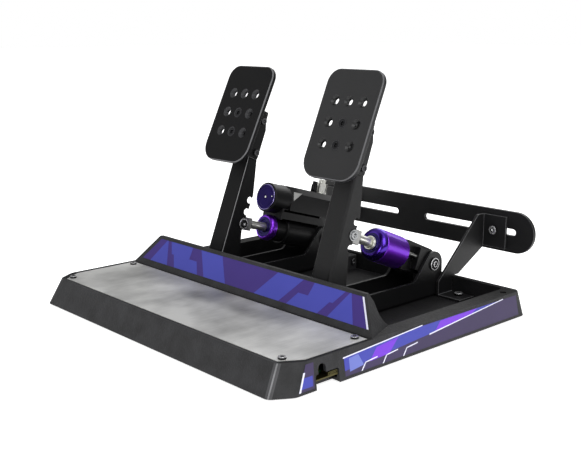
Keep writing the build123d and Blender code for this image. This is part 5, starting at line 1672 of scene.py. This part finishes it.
@dataclass
class RearMount:
    """The slotted plate at the back, its two bent brackets and their bolts."""

    seat: float = 397.0
    height: float = 74.5
    bolts_across: tuple[float, ...] = (-129.5, 124.5)

    def build(self) -> None:
        """Dresses the mount's pieces."""
        datum = Base().datum()
        seats = [
            facing(datum + (across, self.seat, self.height), -REARWARD, RIGHT) for across in self.bolts_across
        ]
        screws("slot_bolts", "base", STRONG_RIM_HIGHLIGHT_OXIDE, SLOT_BOLT, seats)
        for sheet in ("rear_plate", "rear_bracket_left", "rear_bracket_right"):
            refined(sheet, 0.5, POWDER_COAT)
        refined("slot_washers", 0.2, PLATED_STEEL)
        refined("slot_nuts", 0.4, PLATED_STEEL)


@dataclass
class Studio:
    """Pale floor, soft lights and the camera at the photograph's angle; places are in metres."""

    camera_at: Triple = (0.7253, -0.6682, 0.3028)
    yaw: float = 47.698
    pitch: float = 12.634
    roll: float = -0.178
    focal_pixels: float = 917.36
    image_width: float = 581.0
    sensor: float = 36.0
    near_clip: float = 0.05
    surround: float = 0.15
    ceiling: float = 0.6
    ceiling_heights: tuple[float, float] = (0.25, 0.9)  # sines of the heights where it starts and is full
    overhead_strength: float = 0.5
    overhead_spread: float = 70.0
    overhead_tilt: tuple[float, float] = (12.0, 14.0)
    floor_glow: float = 0.8
    floor_reach: float = 12.0
    # Soft lights: name, place, side and power in watts.
    softboxes: tuple[tuple[str, Triple, float, float], ...] = (
        ("key", (1.3, -0.5, 1.2), 1.2, 14.0),
        ("fill", (-1.3, -1.2, 0.9), 1.4, 4.0),
        ("back", (-0.6, 1.5, 1.2), 1.4, 14.0),
        ("strip", (0.5, -2.0, 0.45), 0.45, 5.0),
    )

    def build(self) -> None:
        """Sets up the floor, the world, the lights and the camera."""
        bpy.context.scene.view_settings.view_transform = "Standard"
        self.floor()
        self.world()
        self.overhead()
        for box in self.softboxes:
            self.softbox(*box)
        self.camera()

    def floor(self) -> None:
        """A wide pale floor that glows a little, so that it stays even out to its edge."""
        mesh = bpy.data.meshes.new("floor")
        corners = rectangle_ring(2 * self.floor_reach, 2 * self.floor_reach, 1)
        mesh.from_pydata(lifted(corners, 0.0).tolist(), [], [[0, 1, 2, 3]])
        material = FLOOR_PAINT.material()
        surface = material.node_tree.nodes["Principled BSDF"]
        surface.inputs["Emission Color"].default_value = linear("#ffffff")
        surface.inputs["Emission Strength"].default_value = self.floor_glow
        mesh.materials.append(material)
        floor = in_scene("floor", mesh)

    def world(self) -> None:
        """A surround that looks white but lights the set softly, mostly from the ceiling."""
        world = bpy.data.worlds.new("surround")
        bpy.context.scene.world = world
        world.use_nodes = True
        tree = world.node_tree
        background = tree.nodes["Background"]
        background.inputs["Color"].default_value = linear("#ffffff")
        seen = add_node(tree, "ShaderNodeLightPath", {}).outputs["Is Camera Ray"]
        way = add_node(tree, "ShaderNodeTexCoord", {}).outputs["Generated"]
        height = add_node(tree, "ShaderNodeSeparateXYZ", {"Vector": way}).outputs["Z"]
        low, high = self.ceiling_heights
        inputs = {
            "Value": height, "From Min": low, "From Max": high, "To Min": self.surround, "To Max": self.ceiling,
        }
        soft = add_node(tree, "ShaderNodeMapRange", inputs, interpolation_type="SMOOTHSTEP").outputs["Result"]
        inputs = {"Value": seen, "To Min": soft, "To Max": 1.0}
        strength = add_node(tree, "ShaderNodeMapRange", inputs).outputs["Result"]
        tree.links.new(strength, background.inputs["Strength"])

    def overhead(self) -> None:
        """A broad even light from above that keeps the floor pale out to its edge."""
        light = bpy.data.lights.new("overhead", "SUN")
        light.angle = math.radians(self.overhead_spread)
        light.energy = self.overhead_strength
        lamp = in_scene("overhead", light)
        lamp.rotation_euler = (*(math.radians(angle) for angle in self.overhead_tilt), 0)

    def softbox(self, name: str, at: Triple, side: float, power: float) -> None:
        """A square soft light that faces the set.

        Args:
            name: The light's name.
            at: Where it hangs, in metres.
            side: Its side, in metres.
            power: Its power, in watts.
        """
        light = bpy.data.lights.new(name, "AREA")
        light.size = side
        light.energy = power
        lamp = in_scene(name, light)
        lamp.location = at
        towards = -np.array(at) / np.linalg.norm(at)
        across = np.cross(towards, UP)
        across /= np.linalg.norm(across)
        turn = np.stack([across, np.cross(across, towards), -towards], axis=-1)
        lamp.rotation_euler = Matrix(turn.tolist()).to_euler()

    def camera(self) -> None:
        """The camera: turned by the yaw, tipped down by the pitch, then rolled on its own axis."""
        lens = bpy.data.cameras.new("camera")
        lens.sensor_width = self.sensor
        lens.lens = self.focal_pixels / self.image_width * self.sensor
        lens.clip_start = self.near_clip
        camera = in_scene("camera", lens)
        yaw = Matrix.Rotation(math.radians(self.yaw), 4, "Z")
        tip = Matrix.Rotation(math.radians(90 - self.pitch), 4, "X")
        roll = Matrix.Rotation(math.radians(self.roll), 4, "Z")
        camera.matrix_world = Matrix.Translation(self.camera_at) @ yaw @ tip @ roll
        bpy.context.scene.camera = camera


def main() -> None:
    """Builds the set's looks in order."""
    logging.basicConfig(level=logging.INFO, format="%(name)s: %(message)s")
    # The brake's plate and arm take copies of their finishes darkened as painted shade, with a painted
    # highlight on the arm's folds.
    brake = Pedal("brake", 21.3, plate=SHADED_ANODISED, paint=SHADED_POWDER_COAT, fold_highlight_share=0.64)
    throttle = Pedal(
        "throttle", 18.9, pin_place=(5.5, 79.5), rod_end=60.5, pin=PLATED_STEEL, stroke=15.8, discs=3
    )
    units = Units(throttle.link_axes(), brake.link_axes())
    for part in (Base(), brake, throttle, units, RearMount(), Studio()):
        part.build()
        log.info("%s built", type(part).__name__)


if __name__ == "__main__":
    main()
